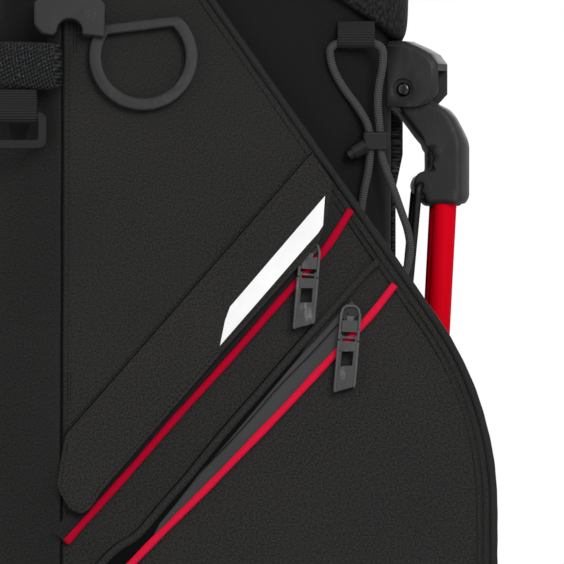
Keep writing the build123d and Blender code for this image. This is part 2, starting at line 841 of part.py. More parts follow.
with BuildPart() as side_pocket:
    with BuildSketch(Plane.XZ.offset(pocket_root_y)):
        with BuildLine():
            pocket_edge()
            Polyline(
                pocket_corner,
                (corner_facet_x, pocket_bottom_z),
                (corner_facet_x, face_top_z),
                pocket_line_top,
            )
        make_face()
    extrude(amount=face_bottom_y + 20)
    with BuildSketch(Plane.YZ):
        with BuildLine():
            pocket_front()
            Polyline(
                (-pocket_bottom_y, pocket_bottom_z),
                (-pocket_root_y, pocket_bottom_z),
                (-pocket_root_y, face_top_z),
                (-face_top_y, face_top_z),
            )
        make_face()
    extrude(amount=pocket_edge_x + 20, both=True, mode=Mode.INTERSECT)
    # The bag body behind, and the clear space for the leg and rod past its side.
    add(bag_envelope(seat_gap, taper_bottom, shell_top), mode=Mode.SUBTRACT)
    with BuildSketch(Plane.XY):
        Polygon(
            (pocket_gusset_x, -pocket_gusset_y),
            (pocket_overhang_x, -pocket_back_y),
            (pocket_edge_x + 20, -pocket_back_y),
            (pocket_edge_x + 20, -pocket_root_y + 10),
            (pocket_gusset_x, -pocket_root_y + 10),
            align=None,
        )
    extrude(amount=face_top_z, mode=Mode.SUBTRACT)
    # The corner panel that turns back from the side seam towards the strap side.
    with BuildSketch(Plane(origin=face_plane.origin, x_dir=(1, 0, 0), z_dir=face_plane.y_dir)):
        Polygon(
            (seam_x, -60),
            (seam_x, 0),
            (corner_facet_x, corner_facet_depth),
            (2 * corner_facet_x - seam_x, 2 * corner_facet_depth),
            (2 * corner_facet_x - seam_x, -60),
            align=None,
        )
    extrude(amount=-face_top_z - 60, mode=Mode.SUBTRACT)
    add(pocket_rim.part, mode=Mode.SUBTRACT)
export_pair(side_pocket, "side_pocket")

# ---- Zips, pipings and flap on the left pocket ----
upper_slope = (upper_piping_top[1] - upper_piping_end[1]) / (upper_piping_top[0] - upper_piping_end[0])
upper_angle = degrees(atan2(upper_slope, 1))
upper_along = Vector(cos(radians(upper_angle)), sin(radians(upper_angle)))
upper_across = Vector(-upper_along.Y, upper_along.X)
lower_slope = (lower_zip_top[1] - lower_zip_end[1]) / (lower_zip_top[0] - lower_zip_end[0])
lower_angle = degrees(atan2(lower_slope, 1))


def shifted(point, distance):
    """Return a point moved across the upper zip's line, up and to the left."""
    return (point[0] + upper_across.X * distance, point[1] + upper_across.Y * distance)


def stroke(points, width, height, level=0.0, round_top=0.0):
    """Lay a band along front-view points on the pocket face, as a solid of the given height."""
    with BuildPart() as band:
        with BuildSketch(face_plane.offset(level)):
            with BuildLine() as route:
                Polyline(*[on_face(x, z) for x, z in points])
            trace(route.line, line_width=width)
        extrude(amount=height)
        if round_top:
            top_face = band.faces().sort_by(SortBy.DISTANCE)[0]
            for face in band.faces():
                if face.normal_at().dot(face_plane.z_dir) > 0.99:
                    top_face = face
            fillet(top_face.edges(), round_top)
    return band.part


def further(point, distance):
    """Return a point moved up along the upper zip's line."""
    return (point[0] + upper_along.X * distance, point[1] + upper_along.Y * distance)


upper_zip_knee = shifted(upper_piping_top, upper_zip_offset)
upper_zip_start = further(upper_zip_knee, upper_zip_lead)
upper_zip_end = shifted(upper_piping_end, upper_zip_offset)
upper_slider_place = further(upper_zip_knee, upper_slider_lead)
upper_zip_line = [upper_zip_start, upper_zip_end]
lower_zip_line = [lower_zip_top, lower_zip_end]

with BuildPart() as upper_zip:
    add(stroke(upper_zip_line, tape_width, tape_thickness))
    add(stroke(upper_zip_line, teeth_width, teeth_rise, tape_thickness))
export(upper_zip, "upper_zip")

with BuildPart() as zip_lip:
    add(stroke(zip_lip_points, lip_width, lip_height, 0.0, 2.0))
export(zip_lip, "lower_zip_lip")

with BuildPart() as upper_piping:
    add(stroke([*upper_piping_bend, upper_piping_top, upper_piping_end], piping_width, piping_height, 0.0, 1.8))
export(upper_piping, "upper_piping")

with BuildPart() as lower_piping:
    add(stroke(lower_piping_points, piping_width, piping_height, 0.0, 1.8))
export(lower_piping, "lower_piping")

# The coated tape fills the space between the lip and the lower piping.
with BuildPart() as lower_zip:
    with BuildSketch(face_plane):
        Polygon(
            *[on_face(x, z) for x, z in zip_lip_points[1:]],
            *[on_face(x, z) for x, z in reversed(lower_piping_points[1:])],
            align=None,
        )
    extrude(amount=tape_thickness)
    add(stroke(lower_zip_line, teeth_width, teeth_rise, tape_thickness))
    add(zip_lip.part, mode=Mode.SUBTRACT)
    add(lower_piping.part, mode=Mode.SUBTRACT)
export(lower_zip, "lower_zip")

# The flap is one thin flat panel, sewn down along its hem and rising to its free edge over the slider.
flap_edge_top = shifted(upper_piping_top, flap_edge_offset)
flap_edge_end = (
    flap_tail_x,
    flap_edge_top[1] - (flap_edge_top[0] - flap_tail_x) * upper_slope,
)
flap_outline = [
    flap_seam_end,
    flap_seam_top,
    *[(flap_seam_top[0] + dx, flap_seam_top[1] + dz) for dx, dz in flap_corner],
    flap_edge_top,
    flap_edge_end,
    *[(flap_edge_end[0] + dx, flap_edge_end[1] + dz) for dx, dz in flap_tail],
]
seam_start = Vector(*on_face(*flap_seam_end))
seam_along = (Vector(*on_face(*flap_seam_top)) - seam_start).normalized()
seam_inward = Vector(seam_along.Y, -seam_along.X)
hem_start = seam_start + seam_inward * flap_hem_width
flap_reach = (Vector(*on_face(*flap_edge_end)) - hem_start).dot(seam_inward)
flap_tilt = degrees(atan2(flap_rise - flap_skin, flap_reach))
flap_plane = Plane(
    face_plane.location
    * Location((hem_start.X, hem_start.Y, 0), (0, 0, degrees(atan2(seam_along.Y, seam_along.X))))
    * Location((0, 0, 0), (-flap_tilt, 0, 0))
)


def flap_layer(outline, level, thickness):
    """Make a flat layer that lies along the flap and has the given outline in front view."""
    with BuildPart() as layer:
        with BuildSketch(face_plane):
            Polygon(*[on_face(x, z) for x, z in outline], align=None)
        extrude(amount=2 * flap_rise)
        with BuildSketch(flap_plane.offset(level)):
            Rectangle(flap_span, flap_span)
        extrude(amount=thickness, mode=Mode.INTERSECT)
    return layer.part


with BuildPart() as storm_flap:
    add(flap_layer(flap_outline, 0.0, flap_skin))
export(storm_flap, "storm_flap")

with BuildPart() as label_patch:
    add(
        flap_layer(
            [(label_corner[0] + dx, label_corner[1] + dz) for dx, dz in label_outline],
            flap_skin,
            label_thickness,
        )
    )
export(label_patch, "label_patch")


def make_slider(plane, angle):
    """Make a zip slider with its swivel post, on a plane with its origin at the post."""
    with BuildPart() as slider:
        with BuildSketch(plane.offset(slider_lift)):
            with Locations(Location((0, 0, 0), (0, 0, angle))):
                RectangleRounded(slider_length, slider_width, 2.4)
        extrude(amount=slider_height)
        with BuildSketch(plane.offset(slider_lift + slider_height)):
            Circle(post_radius)
        extrude(amount=post_height)
        with BuildSketch(plane.offset(slider_lift + slider_height + link_gap + link_thickness + 0.1)):
            Circle(post_radius + 0.5)
        extrude(amount=post_height - link_gap - link_thickness - 0.1)
    return slider.part


def pull_plane(plane, turn):
    """Return the plane at a slider's post, turned so that -y points along the hanging puller."""
    across = plane.x_dir * cos(radians(turn)) + plane.y_dir * sin(radians(turn))
    return Plane(origin=plane.origin, x_dir=across, z_dir=plane.z_dir)


def make_link(plane, turn):
    """Make the flat link that swivels on the slider's post and carries the puller's pin."""
    hanging = pull_plane(plane, turn)
    with BuildPart() as link:
        with BuildSketch(hanging.offset(slider_lift + slider_height + link_gap)):
            Circle(post_radius + 1.1)
            with Locations((0, -link_length / 2)):
                Rectangle(link_width, link_length)
            Circle(post_radius + pin_play, mode=Mode.SUBTRACT)
        extrude(amount=link_thickness)
        with BuildSketch(Plane(origin=hanging.from_local_coords(Vector(0, -link_length, puller_level)),
                               x_dir=hanging.y_dir, z_dir=hanging.x_dir)):
            Circle(link_pin_radius)
        extrude(amount=puller_eye_width / 2, both=True)
    return link.part


def bonded_post(plane):
    """Fill the play round the post where the link doesn't swivel."""
    with BuildPart() as collar_ring:
        with BuildSketch(plane.offset(slider_lift + slider_height)):
            Circle(post_radius + 0.5)
        extrude(amount=post_height)
    return collar_ring.part


def make_puller(plane, turn):
    """Make the moulded pull tab with two windows, hinged on the link's pin."""
    hanging = pull_plane(plane, turn)
    tab_plane = Plane(
        origin=hanging.from_local_coords(Vector(0, -link_length, puller_level)),
        x_dir=hanging.x_dir,
        z_dir=hanging.z_dir,
    )
    half_eye = puller_eye_width / 2
    half = puller_width / 2
    with BuildPart() as puller:
        with BuildSketch(tab_plane):
            Polygon(
                (-half_eye, puller_eye_reach - 1.0),
                (-half_eye + 1.5, puller_eye_reach),
                (half_eye - 1.5, puller_eye_reach),
                (half_eye, puller_eye_reach - 1.0),
                (half, -6.0),
                (half - 0.6, -puller_length + 4.0),
                (half - 2.2, -puller_length + 2.0),
                (-half + 2.0, -puller_length - 2.0),
                (-half + 0.6, -puller_length),
                (-half, -6.0),
                align=None,
            )
            with Locations((0, -13.5)):
                Rectangle(window_width, window_height, mode=Mode.SUBTRACT)
            with Locations((0, -24.0)):
                Rectangle(window_width, window_height, mode=Mode.SUBTRACT)
            with Locations((0, 0)):
                Rectangle(link_width + 0.8, 8.0, mode=Mode.SUBTRACT)
        extrude(amount=puller_thickness / 2, both=True)
        outline_edges = [
            edge
            for edge in puller.edges()
            if abs(tab_plane.to_local_coords(edge.center()).Z) > puller_thickness / 2 - 0.1
        ]
        chamfer(outline_edges, puller_edge)
        # The eye's end is sloped on both faces, so that it clears the piping as the tab lifts.
        side_plane = Plane(origin=tab_plane.origin, x_dir=tab_plane.y_dir, z_dir=tab_plane.x_dir)
        tab_half = puller_thickness / 2
        with BuildSketch(side_plane):
            Polygon(
                (puller_eye_reach, puller_eye_slope - tab_half),
                (puller_eye_reach, tab_half - puller_eye_slope),
                (puller_eye_reach - puller_eye_slope, tab_half),
                (-2 * puller_length, tab_half),
                (-2 * puller_length, -tab_half),
                (puller_eye_reach - puller_eye_slope, -tab_half),
                align=None,
            )
        extrude(amount=puller_width, both=True, mode=Mode.INTERSECT)
        with BuildSketch(side_plane):
            Circle(link_pin_radius + pin_play)
        extrude(amount=puller_width, both=True, mode=Mode.SUBTRACT)
    return puller.part


upper_post_plane = Plane(
    origin=face_plane.from_local_coords(Vector(*on_face(*upper_slider_place), 0)),
    x_dir=face_plane.x_dir,
    z_dir=face_plane.z_dir,
)
lower_post_plane = Plane(
    origin=face_plane.from_local_coords(Vector(*on_face(*lower_slider_place), 0)),
    x_dir=face_plane.x_dir,
    z_dir=face_plane.z_dir,
)
for zip_name, post_plane, zip_angle in (
    ("upper", upper_post_plane, upper_angle),
    ("lower", lower_post_plane, lower_angle),
):
    with BuildPart() as slider_builder:
        add(make_slider(post_plane, zip_angle))
    export(slider_builder, f"{zip_name}_slider")
    with BuildPart() as link_builder:
        add(make_link(post_plane, puller_turn))
    export(link_builder, f"{zip_name}_link")
    with BuildPart() as puller_builder:
        add(make_puller(post_plane, puller_turn))
    export(puller_builder, f"{zip_name}_puller")

# ---- Zip of the right pocket: the same hardware as the left lower zip, mirrored ----
with BuildPart() as right_zip:
    mirror(lower_zip.part, about=Plane.XZ)
export(right_zip, "right_zip")

with BuildPart() as right_piping:
    mirror(lower_piping.part, about=Plane.XZ)
export(right_piping, "right_piping")

with BuildPart() as right_slider:
    mirror(make_slider(lower_post_plane, lower_angle), about=Plane.XZ)
    mirror(make_link(lower_post_plane, puller_turn), about=Plane.XZ)
    mirror(bonded_post(lower_post_plane), about=Plane.XZ)
export(right_slider, "right_slider")

with BuildPart() as right_puller:
    mirror(make_puller(lower_post_plane, puller_turn), about=Plane.XZ)
export(right_puller, "right_puller")


# ================= Ball pocket =================
ball_face_x = -(body_half_x + ball_depth)
with BuildPart() as ball_pocket:
    with BuildSketch(Plane.YZ.offset(ball_face_x)):
        with Locations((0, (ball_top + ball_bottom) / 2)):
            RectangleRounded(2 * ball_half_width, ball_top - ball_bottom, ball_corner)
    extrude(amount=ball_depth + 40)
    fillet(ball_pocket.faces().sort_by(Axis.X)[0].edges(), ball_edge_radius)
    add(bag_envelope(seat_gap, taper_bottom, shell_top), mode=Mode.SUBTRACT)
    add(side_pocket.part, mode=Mode.SUBTRACT)
    mirrored_pocket = mirror(side_pocket.part, about=Plane.XZ, mode=Mode.PRIVATE)
    add(mirrored_pocket, mode=Mode.SUBTRACT)
export(ball_pocket, "ball_pocket")

ball_zip_plane = Plane(origin=(ball_face_x, 0, ball_zip_z), x_dir=(0, -1, 0), z_dir=(-1, 0, 0))
ball_post_plane = Plane(
    origin=ball_zip_plane.from_local_coords(Vector(ball_slider_start, 0, 0)),
    x_dir=ball_zip_plane.x_dir,
    z_dir=ball_zip_plane.z_dir,
)
with BuildPart() as ball_zip:
    with BuildSketch(ball_zip_plane):
        Rectangle(2 * ball_zip_half, tape_width)
    extrude(amount=tape_thickness)
    with BuildSketch(ball_zip_plane.offset(tape_thickness)):
        Rectangle(2 * ball_zip_half, teeth_width)
    extrude(amount=teeth_rise)
export(ball_zip, "ball_zip")

with BuildPart() as ball_slider:
    add(make_slider(ball_post_plane, 0.0))
    add(make_link(ball_post_plane, 0.0))
    add(bonded_post(ball_post_plane))
export(ball_slider, "ball_slider")

with BuildPart() as ball_puller:
    add(make_puller(ball_post_plane, 0.0))
export(ball_puller, "ball_puller")


# ================= Towel ring and connector =================
ring_plane = Plane(
    origin=face_plane.from_local_coords(Vector(*on_face(ring_x, ring_z), ring_rise)),
    x_dir=face_plane.x_dir * cos(radians(ring_roll)) + face_plane.y_dir * sin(radians(ring_roll)),
    z_dir=face_plane.z_dir,
)
ring_bar_level = ring_bar_top - ring_bar_height / 2
with BuildPart() as towel_ring:
    with BuildSketch(ring_plane):
        Circle(ring_radius)
        Circle(ring_radius - ring_band, mode=Mode.SUBTRACT)
        with Locations((0, ring_bar_top + ring_radius)):
            Rectangle(3 * ring_radius, 2 * ring_radius, mode=Mode.SUBTRACT)
        bar_half = sqrt(ring_radius**2 - ring_bar_top**2)
        with Locations((0, ring_bar_level)):
            Rectangle(2 * bar_half + 1.0, ring_bar_height)
    extrude(amount=ring_thickness)
    outline_edges = [
        edge
        for edge in towel_ring.edges()
        if abs(ring_plane.to_local_coords(edge.center()).Z - ring_thickness / 2) > ring_thickness / 2 - 0.1
    ]
    chamfer(outline_edges, ring_edge)
export(towel_ring, "towel_ring")

with BuildPart() as ring_connector:
    with BuildSketch(face_plane):
        with BuildLine():
            Polyline(
                on_face(12.5, -36.5),
                on_face(27.5, -38.5),
                on_face(27.5, -17.0),
                on_face(22.0, -11.0),
                on_face(-14.0, -11.0),
                on_face(-18.0, -16.0),
                on_face(-18.0, -30.0),
                on_face(-13.0, -36.0),
                on_face(-6.0, -37.4),
                on_face(-3.5, -35.0),
            )
            ThreePointArc(on_face(-3.5, -35.0), on_face(4.4, -26.5), on_face(12.5, -36.5))
        make_face()
    extrude(amount=connector_depth)
    connector_front = [
        edge
        for edge in ring_connector.edges()
        if face_plane.to_local_coords(edge.center()).Z > connector_depth - 0.1
    ]
    fillet(connector_front, 1.2)
    # The pocket inside that holds the ring's corner, open downwards and to the ring's side.
    with BuildSketch(face_plane.offset(ring_rise - ring_play)):
        Polygon(
            on_face(11.5, -48.0),
            on_face(34.0, -48.0),
            on_face(34.0, -21.0),
            on_face(18.0, -21.0),
            on_face(11.5, -27.0),
            align=None,
        )
    extrude(amount=ring_play + ring_thickness + ring_front_play, mode=Mode.SUBTRACT)
export(ring_connector, "ring_connector")


# ================= Shoulder straps, webbing and loops =================
# The band's inner edge is seated on the slanted corner of the side pocket at its lowest point.
strap_face_y = -face_top_y - (face_top_z - strap_bottom) * tan(radians(face_lean))
facet_slope = corner_facet_depth / (seam_x - corner_facet_x)
strap_seat_x = seam_x - strap_seat_inset
strap_inner_y = strap_pad_width / 2 - strap_pad_y
strap_seat_y = strap_face_y + strap_seat_inset * facet_slope - seat_gap * sqrt(1 + facet_slope**2)
with BuildPart() as shoulder_strap:
    with BuildSketch(Plane.XY.offset(strap_bottom)):
        Polygon(
            (seam_x - 2.0, strap_face_y - strap_front),
            (loop_x - 3.0, 0.5 - loop_y),
            (strap_outer_x, strap_turn_y - body_half_y),
            (strap_outer_x, strap_inner_y),
            (strap_outer_x + strap_thickness, strap_inner_y),
            (strap_outer_x + strap_thickness, strap_turn_y - body_half_y + 5.0),
            (loop_x + 3.0, strap_thickness - loop_y),
            (strap_seat_x, strap_seat_y),
            align=None,
        )
    extrude(amount=strap_band_height)
    with BuildSketch(Plane.YZ.offset(strap_outer_x)):
        with Locations((-strap_pad_y, strap_top - strap_pad_length / 2)):
            RectangleRounded(strap_pad_width, strap_pad_length, strap_pad_corner)
    extrude(amount=strap_thickness)
export_pair(shoulder_strap, "shoulder_strap")

loop_outer = webbing_width + 2.0 + 4 * loop_bar_radius
loop_origin = Vector(loop_x, -loop_y, loop_bar_z)
with BuildPart() as strap_webbing:
    with BuildSketch(Plane.YZ.offset(loop_x - webbing_width / 2)):
        with Locations((-loop_y, loop_bar_z)):
            Circle(loop_bar_radius + 0.4 + webbing_thickness)
        with Locations((-loop_y + webbing_back, (loop_bar_z + strap_top - strap_band_height) / 2 - seat_gap / 2)):
            Rectangle(webbing_thickness * 1.6, strap_top - strap_band_height - loop_bar_z - seat_gap)
        with Locations((-loop_y, loop_bar_z)):
            Circle(loop_bar_radius + 0.4, mode=Mode.SUBTRACT)
    extrude(amount=webbing_width)
export_pair(strap_webbing, "strap_webbing")

with BuildPart() as strap_loop:
    with BuildSketch(Plane.XZ.offset(loop_y)):
        with Locations((loop_x, loop_bar_z + loop_bar_radius - loop_height / 2)):
            RectangleRounded(loop_outer, loop_height, 5.0)
            RectangleRounded(
                loop_outer - 4 * loop_bar_radius,
                loop_height - 4 * loop_bar_radius,
                2.0,
                mode=Mode.SUBTRACT,
            )
        with Locations((loop_x, loop_bar_z)):
            Rectangle(webbing_width + 1.6, 4 * loop_bar_radius, mode=Mode.SUBTRACT)
    extrude(amount=loop_bar_radius, both=True)
    with BuildSketch(Plane.YZ.offset(loop_x - webbing_width / 2 - 1.4)):
        with Locations((-loop_y, loop_bar_z)):
            Circle(loop_bar_radius - 0.2)
    extrude(amount=webbing_width + 2.8)
export_pair(strap_loop, "strap_loop")


# ================= Elastic cord, its webbing loop and its lock =================
with BuildPart() as cord_tab:
    with BuildSketch(Plane.YZ.offset(cord_tab_x - cord_tab_width / 2)):
        with Locations((-cord_tab_y, cord_tab_z)):
            Circle(cord_diameter / 2 + 0.4 + cord_tab_thickness)
            with Locations((cord_diameter / 2 + 0.4 + cord_tab_thickness / 2, cord_tab_height / 2)):
                Rectangle(cord_tab_thickness, cord_tab_height)
            Circle(cord_diameter / 2 + 0.4, mode=Mode.SUBTRACT)
    extrude(amount=cord_tab_width)
export(cord_tab, "cord_tab")

cord_points = [
    (108.0, -95.0, 690.0),
    (109.6, -95.0, 702.5),
    (112.6, -95.2, 714.5),
    (113.9, strand_y, 727.0),
    (113.8, strand_y, 743.0),
    (106.5, -95.8, 756.0),
    (95.5, -97.0, 770.0),
    (88.2, -98.5, 784.5),
    (87.6, -cord_tab_y, cord_tab_z),
    (121.6, -cord_tab_y, cord_tab_z),
    (122.4, -98.5, 784.5),
    (119.3, -97.0, 771.0),
    (118.4, -96.0, 757.5),
    (120.1, strand_y, 743.5),
    (120.2, strand_y, 727.0),
    (124.5, -94.6, 714.5),
    (129.2, -93.6, 703.0),
    (133.6, -92.6, 690.0),
    (138.3, -92.2, 677.5),
    (140.0, -92.6, 664.0),
    (137.4, -95.0, 652.5),
    (134.5, -101.0, 642.0),
]


def corner_radii(points):
    """Return the largest fair radius at each inner corner of a cord's route."""
    radii = []
    for before, corner, after in zip(points, points[1:], points[2:]):
        incoming = Vector(*corner) - Vector(*before)
        outgoing = Vector(*after) - Vector(*corner)
        half_turn = radians(incoming.get_angle(outgoing)) / 2
        shorter = min(incoming.length, outgoing.length)
        radii.append(0.45 * shorter / tan(half_turn))
    return radii


cord_radii = corner_radii(cord_points)
with BuildPart() as elastic_cord:
    with BuildLine() as cord_line:
        FilletPolyline(*cord_points, radius=cord_radii)
    with BuildSketch(Plane(origin=cord_line.line @ 0, z_dir=cord_line.line % 0)):
        Circle(cord_diameter / 2)
    sweep(path=cord_line.line)
export(elastic_cord, "elastic_cord")
cord_length = sum(edge.length for edge in cord_line.edges())
print("cord length", round(cord_length, 1))
print("cord radii", [round(radius, 1) for radius in cord_radii])
cord_section = 3.14159 * cord_diameter**2 / 4
print("cord volume ratio", round(elastic_cord.part.volume / (cord_section * cord_length), 4))

lock_centre_x = (cord_points[3][0] + cord_points[14][0]) / 2
barrel_plane = Plane(
    origin=(
        lock_centre_x - lock_width / 2 + barrel_inset,
        strand_y - barrel_forward,
        lock_z - barrel_drop,
    ),
    x_dir=(0, 1, 0),
    z_dir=(-1, 0, -barrel_dip),
)
with BuildPart() as cord_lock:
    with BuildSketch(Plane.XY.offset(lock_z - lock_height / 2)):
        with Locations((lock_centre_x, strand_y)):
            RectangleRounded(lock_width, lock_depth, 2.0)
    extrude(amount=lock_height)
    fillet(cord_lock.faces().sort_by(Axis.Z)[-1].edges(), 1.0)
    with BuildSketch(barrel_plane):
        Circle(barrel_radius)
    extrude(amount=barrel_length)
    with BuildSketch(barrel_plane.offset(barrel_length)):
        Circle(button_radius + pin_play)
    extrude(amount=-button_depth - button_travel - seat_gap, mode=Mode.SUBTRACT)
    with BuildSketch(Plane.XY.offset(lock_z - lock_height / 2 - 20)):
        with Locations((cord_points[3][0], strand_y), (cord_points[14][0], strand_y)):
            Circle(cord_diameter / 2 + 0.3)
    extrude(amount=lock_height + 40, mode=Mode.SUBTRACT)
export(cord_lock, "cord_lock")

with BuildPart() as lock_button:
    with BuildSketch(barrel_plane.offset(barrel_length - button_depth)):
        Circle(button_radius)
    extrude(amount=button_depth + button_out)
    outer_rim = lock_button.edges().sort_by(Axis((0, 0, 0), tuple(barrel_plane.z_dir)))[-1]
    fillet(outer_rim, 1.5)
export(lock_button, "lock_button")


# ================= Hip pad =================
with BuildPart() as hip_pad:
    with BuildSketch(Plane.XZ):
        with BuildLine():
            Polyline(
                (body_half_x + seat_gap, hip_bottom),
                (body_half_x + seat_gap, hip_top),
                (body_half_x + 3.0, hip_top),
                (body_half_x + hip_bulge, hip_top - 8.0),
                (body_half_x + hip_bulge, hip_top - 30.0),
                (body_half_x + hip_thickness, hip_top - 52.0),
                (body_half_x + hip_thickness, hip_bottom + 6.0),
                (body_half_x + seat_gap, hip_bottom),
            )
        make_face()
    extrude(amount=hip_half_width, both=True)
    add(bag_envelope(seat_gap, taper_bottom, taper_top), mode=Mode.SUBTRACT)
export(hip_pad, "hip_pad")
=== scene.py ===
"""Looks of a golf stand bag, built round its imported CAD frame. Sizes are in millimetres until a mesh is made."""

import json
import math

import bmesh
import bpy
import numpy as np
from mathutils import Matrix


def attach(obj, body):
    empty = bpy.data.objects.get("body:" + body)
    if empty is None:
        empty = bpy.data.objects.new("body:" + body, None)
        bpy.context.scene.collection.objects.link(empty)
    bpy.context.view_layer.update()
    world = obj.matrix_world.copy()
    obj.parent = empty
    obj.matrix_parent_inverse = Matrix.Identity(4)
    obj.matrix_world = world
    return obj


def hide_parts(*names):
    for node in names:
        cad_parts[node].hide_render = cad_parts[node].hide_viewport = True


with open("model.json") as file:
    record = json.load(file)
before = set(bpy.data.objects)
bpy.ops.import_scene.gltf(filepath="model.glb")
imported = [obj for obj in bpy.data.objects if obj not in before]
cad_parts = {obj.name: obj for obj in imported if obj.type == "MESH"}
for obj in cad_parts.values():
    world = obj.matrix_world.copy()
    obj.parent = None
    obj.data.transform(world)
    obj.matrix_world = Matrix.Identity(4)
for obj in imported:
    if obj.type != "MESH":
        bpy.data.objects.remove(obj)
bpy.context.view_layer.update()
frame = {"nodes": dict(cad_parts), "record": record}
MM = 0.001

# ---- Sizes that follow the solids ----
BODY_X, BODY_Y, BODY_CORNER = 128.0, 95.0, 42.0
FOOT_X, FOOT_Y = 112.0, 85.0
TAPER_BOTTOM, TAPER_TOP, SHELL_TOP = 50.0, 560.0, 872.0
FACE_TOP_Y, FACE_TOP_Z, FACE_BOTTOM_Z = 101.0, 838.0, 415.0
LEAN = math.radians(7.0)
ROUND_Z, POCKET_BOTTOM_Z = 250.0, 105.0
SEAM_X = -84.0
FACET_X, FACET_DEPTH = -131.0, 45.0
ROOT_Y = 50.0

# ---- Sizes of the bag's own details ----
SIDES = ((-1, "left"), (1, "right"))
BAND_STEP, EDGE_CUT, THREAD, WEB_TURN = 2.5, 0.4, 0.5, 3.9


# ---- Mesh tools ----
def grid_quads(rows, cols, closed=False):
    """Corners of each quad between closed rings: (i, j), (i, j+1), (i+1, j+1), (i+1, j). In a closed skin the last
    ring joins the first."""
    i, j = np.arange(rows if closed else rows - 1)[:, None] * cols, np.arange(cols)
    below, beside = (i + cols) % (rows * cols), (j + 1) % cols
    return np.stack(np.broadcast_arrays(i + j, i + beside, below + beside, below + j), -1).reshape(-1, 4)


def grid_lengths(points, closed):
    """Lengths round and along the rings, in metres, at each quad's corners: the mean step, added up."""
    down = np.concatenate([points, points[:1]]) if closed else points
    around = np.concatenate([points, points[:, :1]], 1)
    v, u = (
        np.append(0, np.linalg.norm(np.diff(line, axis=axis), axis=2).mean(1 - axis).cumsum()) * MM
        for line, axis in ((down, 0), (around, 1))
    )
    i, j = np.arange(len(v) - 1)[:, None], np.arange(len(u) - 1)
    corners = [(j, i), (j + 1, i), (j + 1, i + 1), (j, i + 1)]
    return np.stack([np.stack(np.broadcast_arrays(u[a], v[b]), -1) for a, b in corners], 2).reshape(-1, 4, 2)


def outward(points, faces, uv=None):
    """A closed skin's points, faces and map. The faces turn outwards if its signed volume, which has the sign of the
    summed triple products of its triangles, is negative."""
    points = np.asarray(points, float).reshape(-1, 3)
    a, b, c, d = (points[faces[:, k]] for k in range(4))
    if (a * (np.cross(b, c) + np.cross(c, d))).sum() < 0:
        faces, uv = faces[:, ::-1], None if uv is None else uv[:, ::-1]
    return points, faces, uv


def shown(name, data):
    """A new object of the scene."""
    made = bpy.data.objects.new(name, data)
    bpy.context.scene.collection.objects.link(made)
    return made


def make_piece(name, points, faces, uv, finish, node=None, body="bag", smooth=True):
    """A mesh object from points in mm, with its finish. It rides on a body, and may replace a solid."""
    mesh = bpy.data.meshes.new(name)
    mesh.from_pydata((points * MM).tolist(), [], faces.tolist())
    if uv is not None:
        layer = mesh.uv_layers.new(name="cloth")
        layer.data.foreach_set("uv", np.ascontiguousarray(uv, np.float32).ravel())
    mesh.polygons.foreach_set("use_smooth", np.full(len(mesh.polygons), smooth))
    mesh.update()
    mesh.materials.append(finish.material)
    piece = shown(name, mesh)
    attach(piece, body)
    if node:
        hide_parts(node)
    return piece


def skin(rings, closed=False):
    """Skin closed rings (rows, cols, 3) in order. Its two ends are closed by strips across them, or joined."""
    rows, cols = rings.shape[:2]
    faces, uv = grid_quads(rows, cols, closed), grid_lengths(rings, closed)
    if not closed:
        k = np.arange(cols // 2 - 1)
        cap = np.stack([k, cols - 1 - k, cols - 2 - k, k + 1], 1)
        ends = np.concatenate([cap, (rows - 1) * cols + cap[:, ::-1]])
        places = rings.reshape(-1, 3)[ends]
        spread = places - places.mean((0, 1))
        main = np.linalg.svd(spread.reshape(-1, 3), full_matrices=False)[2][:2]
        faces, uv = np.concatenate([faces, ends]), np.concatenate([uv, (spread @ main.T) * MM])
    return outward(rings, faces, uv)


def loft(name, rings, finish, node=None, closed=False):
    """A piece of one skin over its rings."""
    return make_piece(name, *skin(rings, closed), finish, node)


def merged(name, shells, finish, node, body):
    """A flat-faced piece of several closed skins."""
    skins = [skin(rings) for rings in shells]
    starts = np.cumsum([0] + [len(points) for points, _, _ in skins])
    moved = [(points, faces + start, uv) for (points, faces, uv), start in zip(skins, starts)]
    return make_piece(name, *[np.concatenate(parts) for parts in zip(*moved)], finish, node, body, smooth=False)


def stacked(*parts):
    """Points whose coordinates are given as numbers or arrays."""
    return np.stack(np.broadcast_arrays(*[np.asarray(v, float) for v in parts]), -1)


def lifted(plan, z):
    """Points of a plan, lifted to a height or to a height each."""
    return np.column_stack([plan, np.broadcast_to(z, len(plan))])


def unit(vectors):
    """Vectors of length one, in the same directions."""
    return vectors / np.maximum(np.linalg.norm(vectors, axis=-1, keepdims=True), 1e-9)


def along(points, closed=False):
    """Unit tangents of a line of points: the step from the point before to the point after."""
    if closed:
        return unit(np.roll(points, -1, 0) - np.roll(points, 1, 0))
    return unit(np.gradient(points, axis=0))


def respaced(points, step=None, count=None, closed=False):
    """Points evenly spaced along a line, either a number of them or about one step apart."""
    points = np.asarray(points, float)
    if closed:
        points = np.concatenate([points, points[:1]])
    run = np.append(0, np.linalg.norm(np.diff(points, axis=0), axis=1).cumsum())
    count = count or max(int(round(run[-1] / step)) + 1, 2)
    at = np.linspace(0, run[-1], count, endpoint=not closed)
    return np.stack([np.interp(at, run, points[:, k]) for k in range(points.shape[1])], 1)


def softened(points, times=3):
    """A line with its corners cut: each run is parted at a quarter and three quarters, some times over."""
    points = np.asarray(points, float)
    for _ in range(times):
        before, after = points[:-1], points[1:]
        cut = np.stack([0.75 * before + 0.25 * after, 0.25 * before + 0.75 * after], 1)
        points = np.concatenate([points[:1], cut.reshape(-1, points.shape[1]), points[-1:]])
    return points


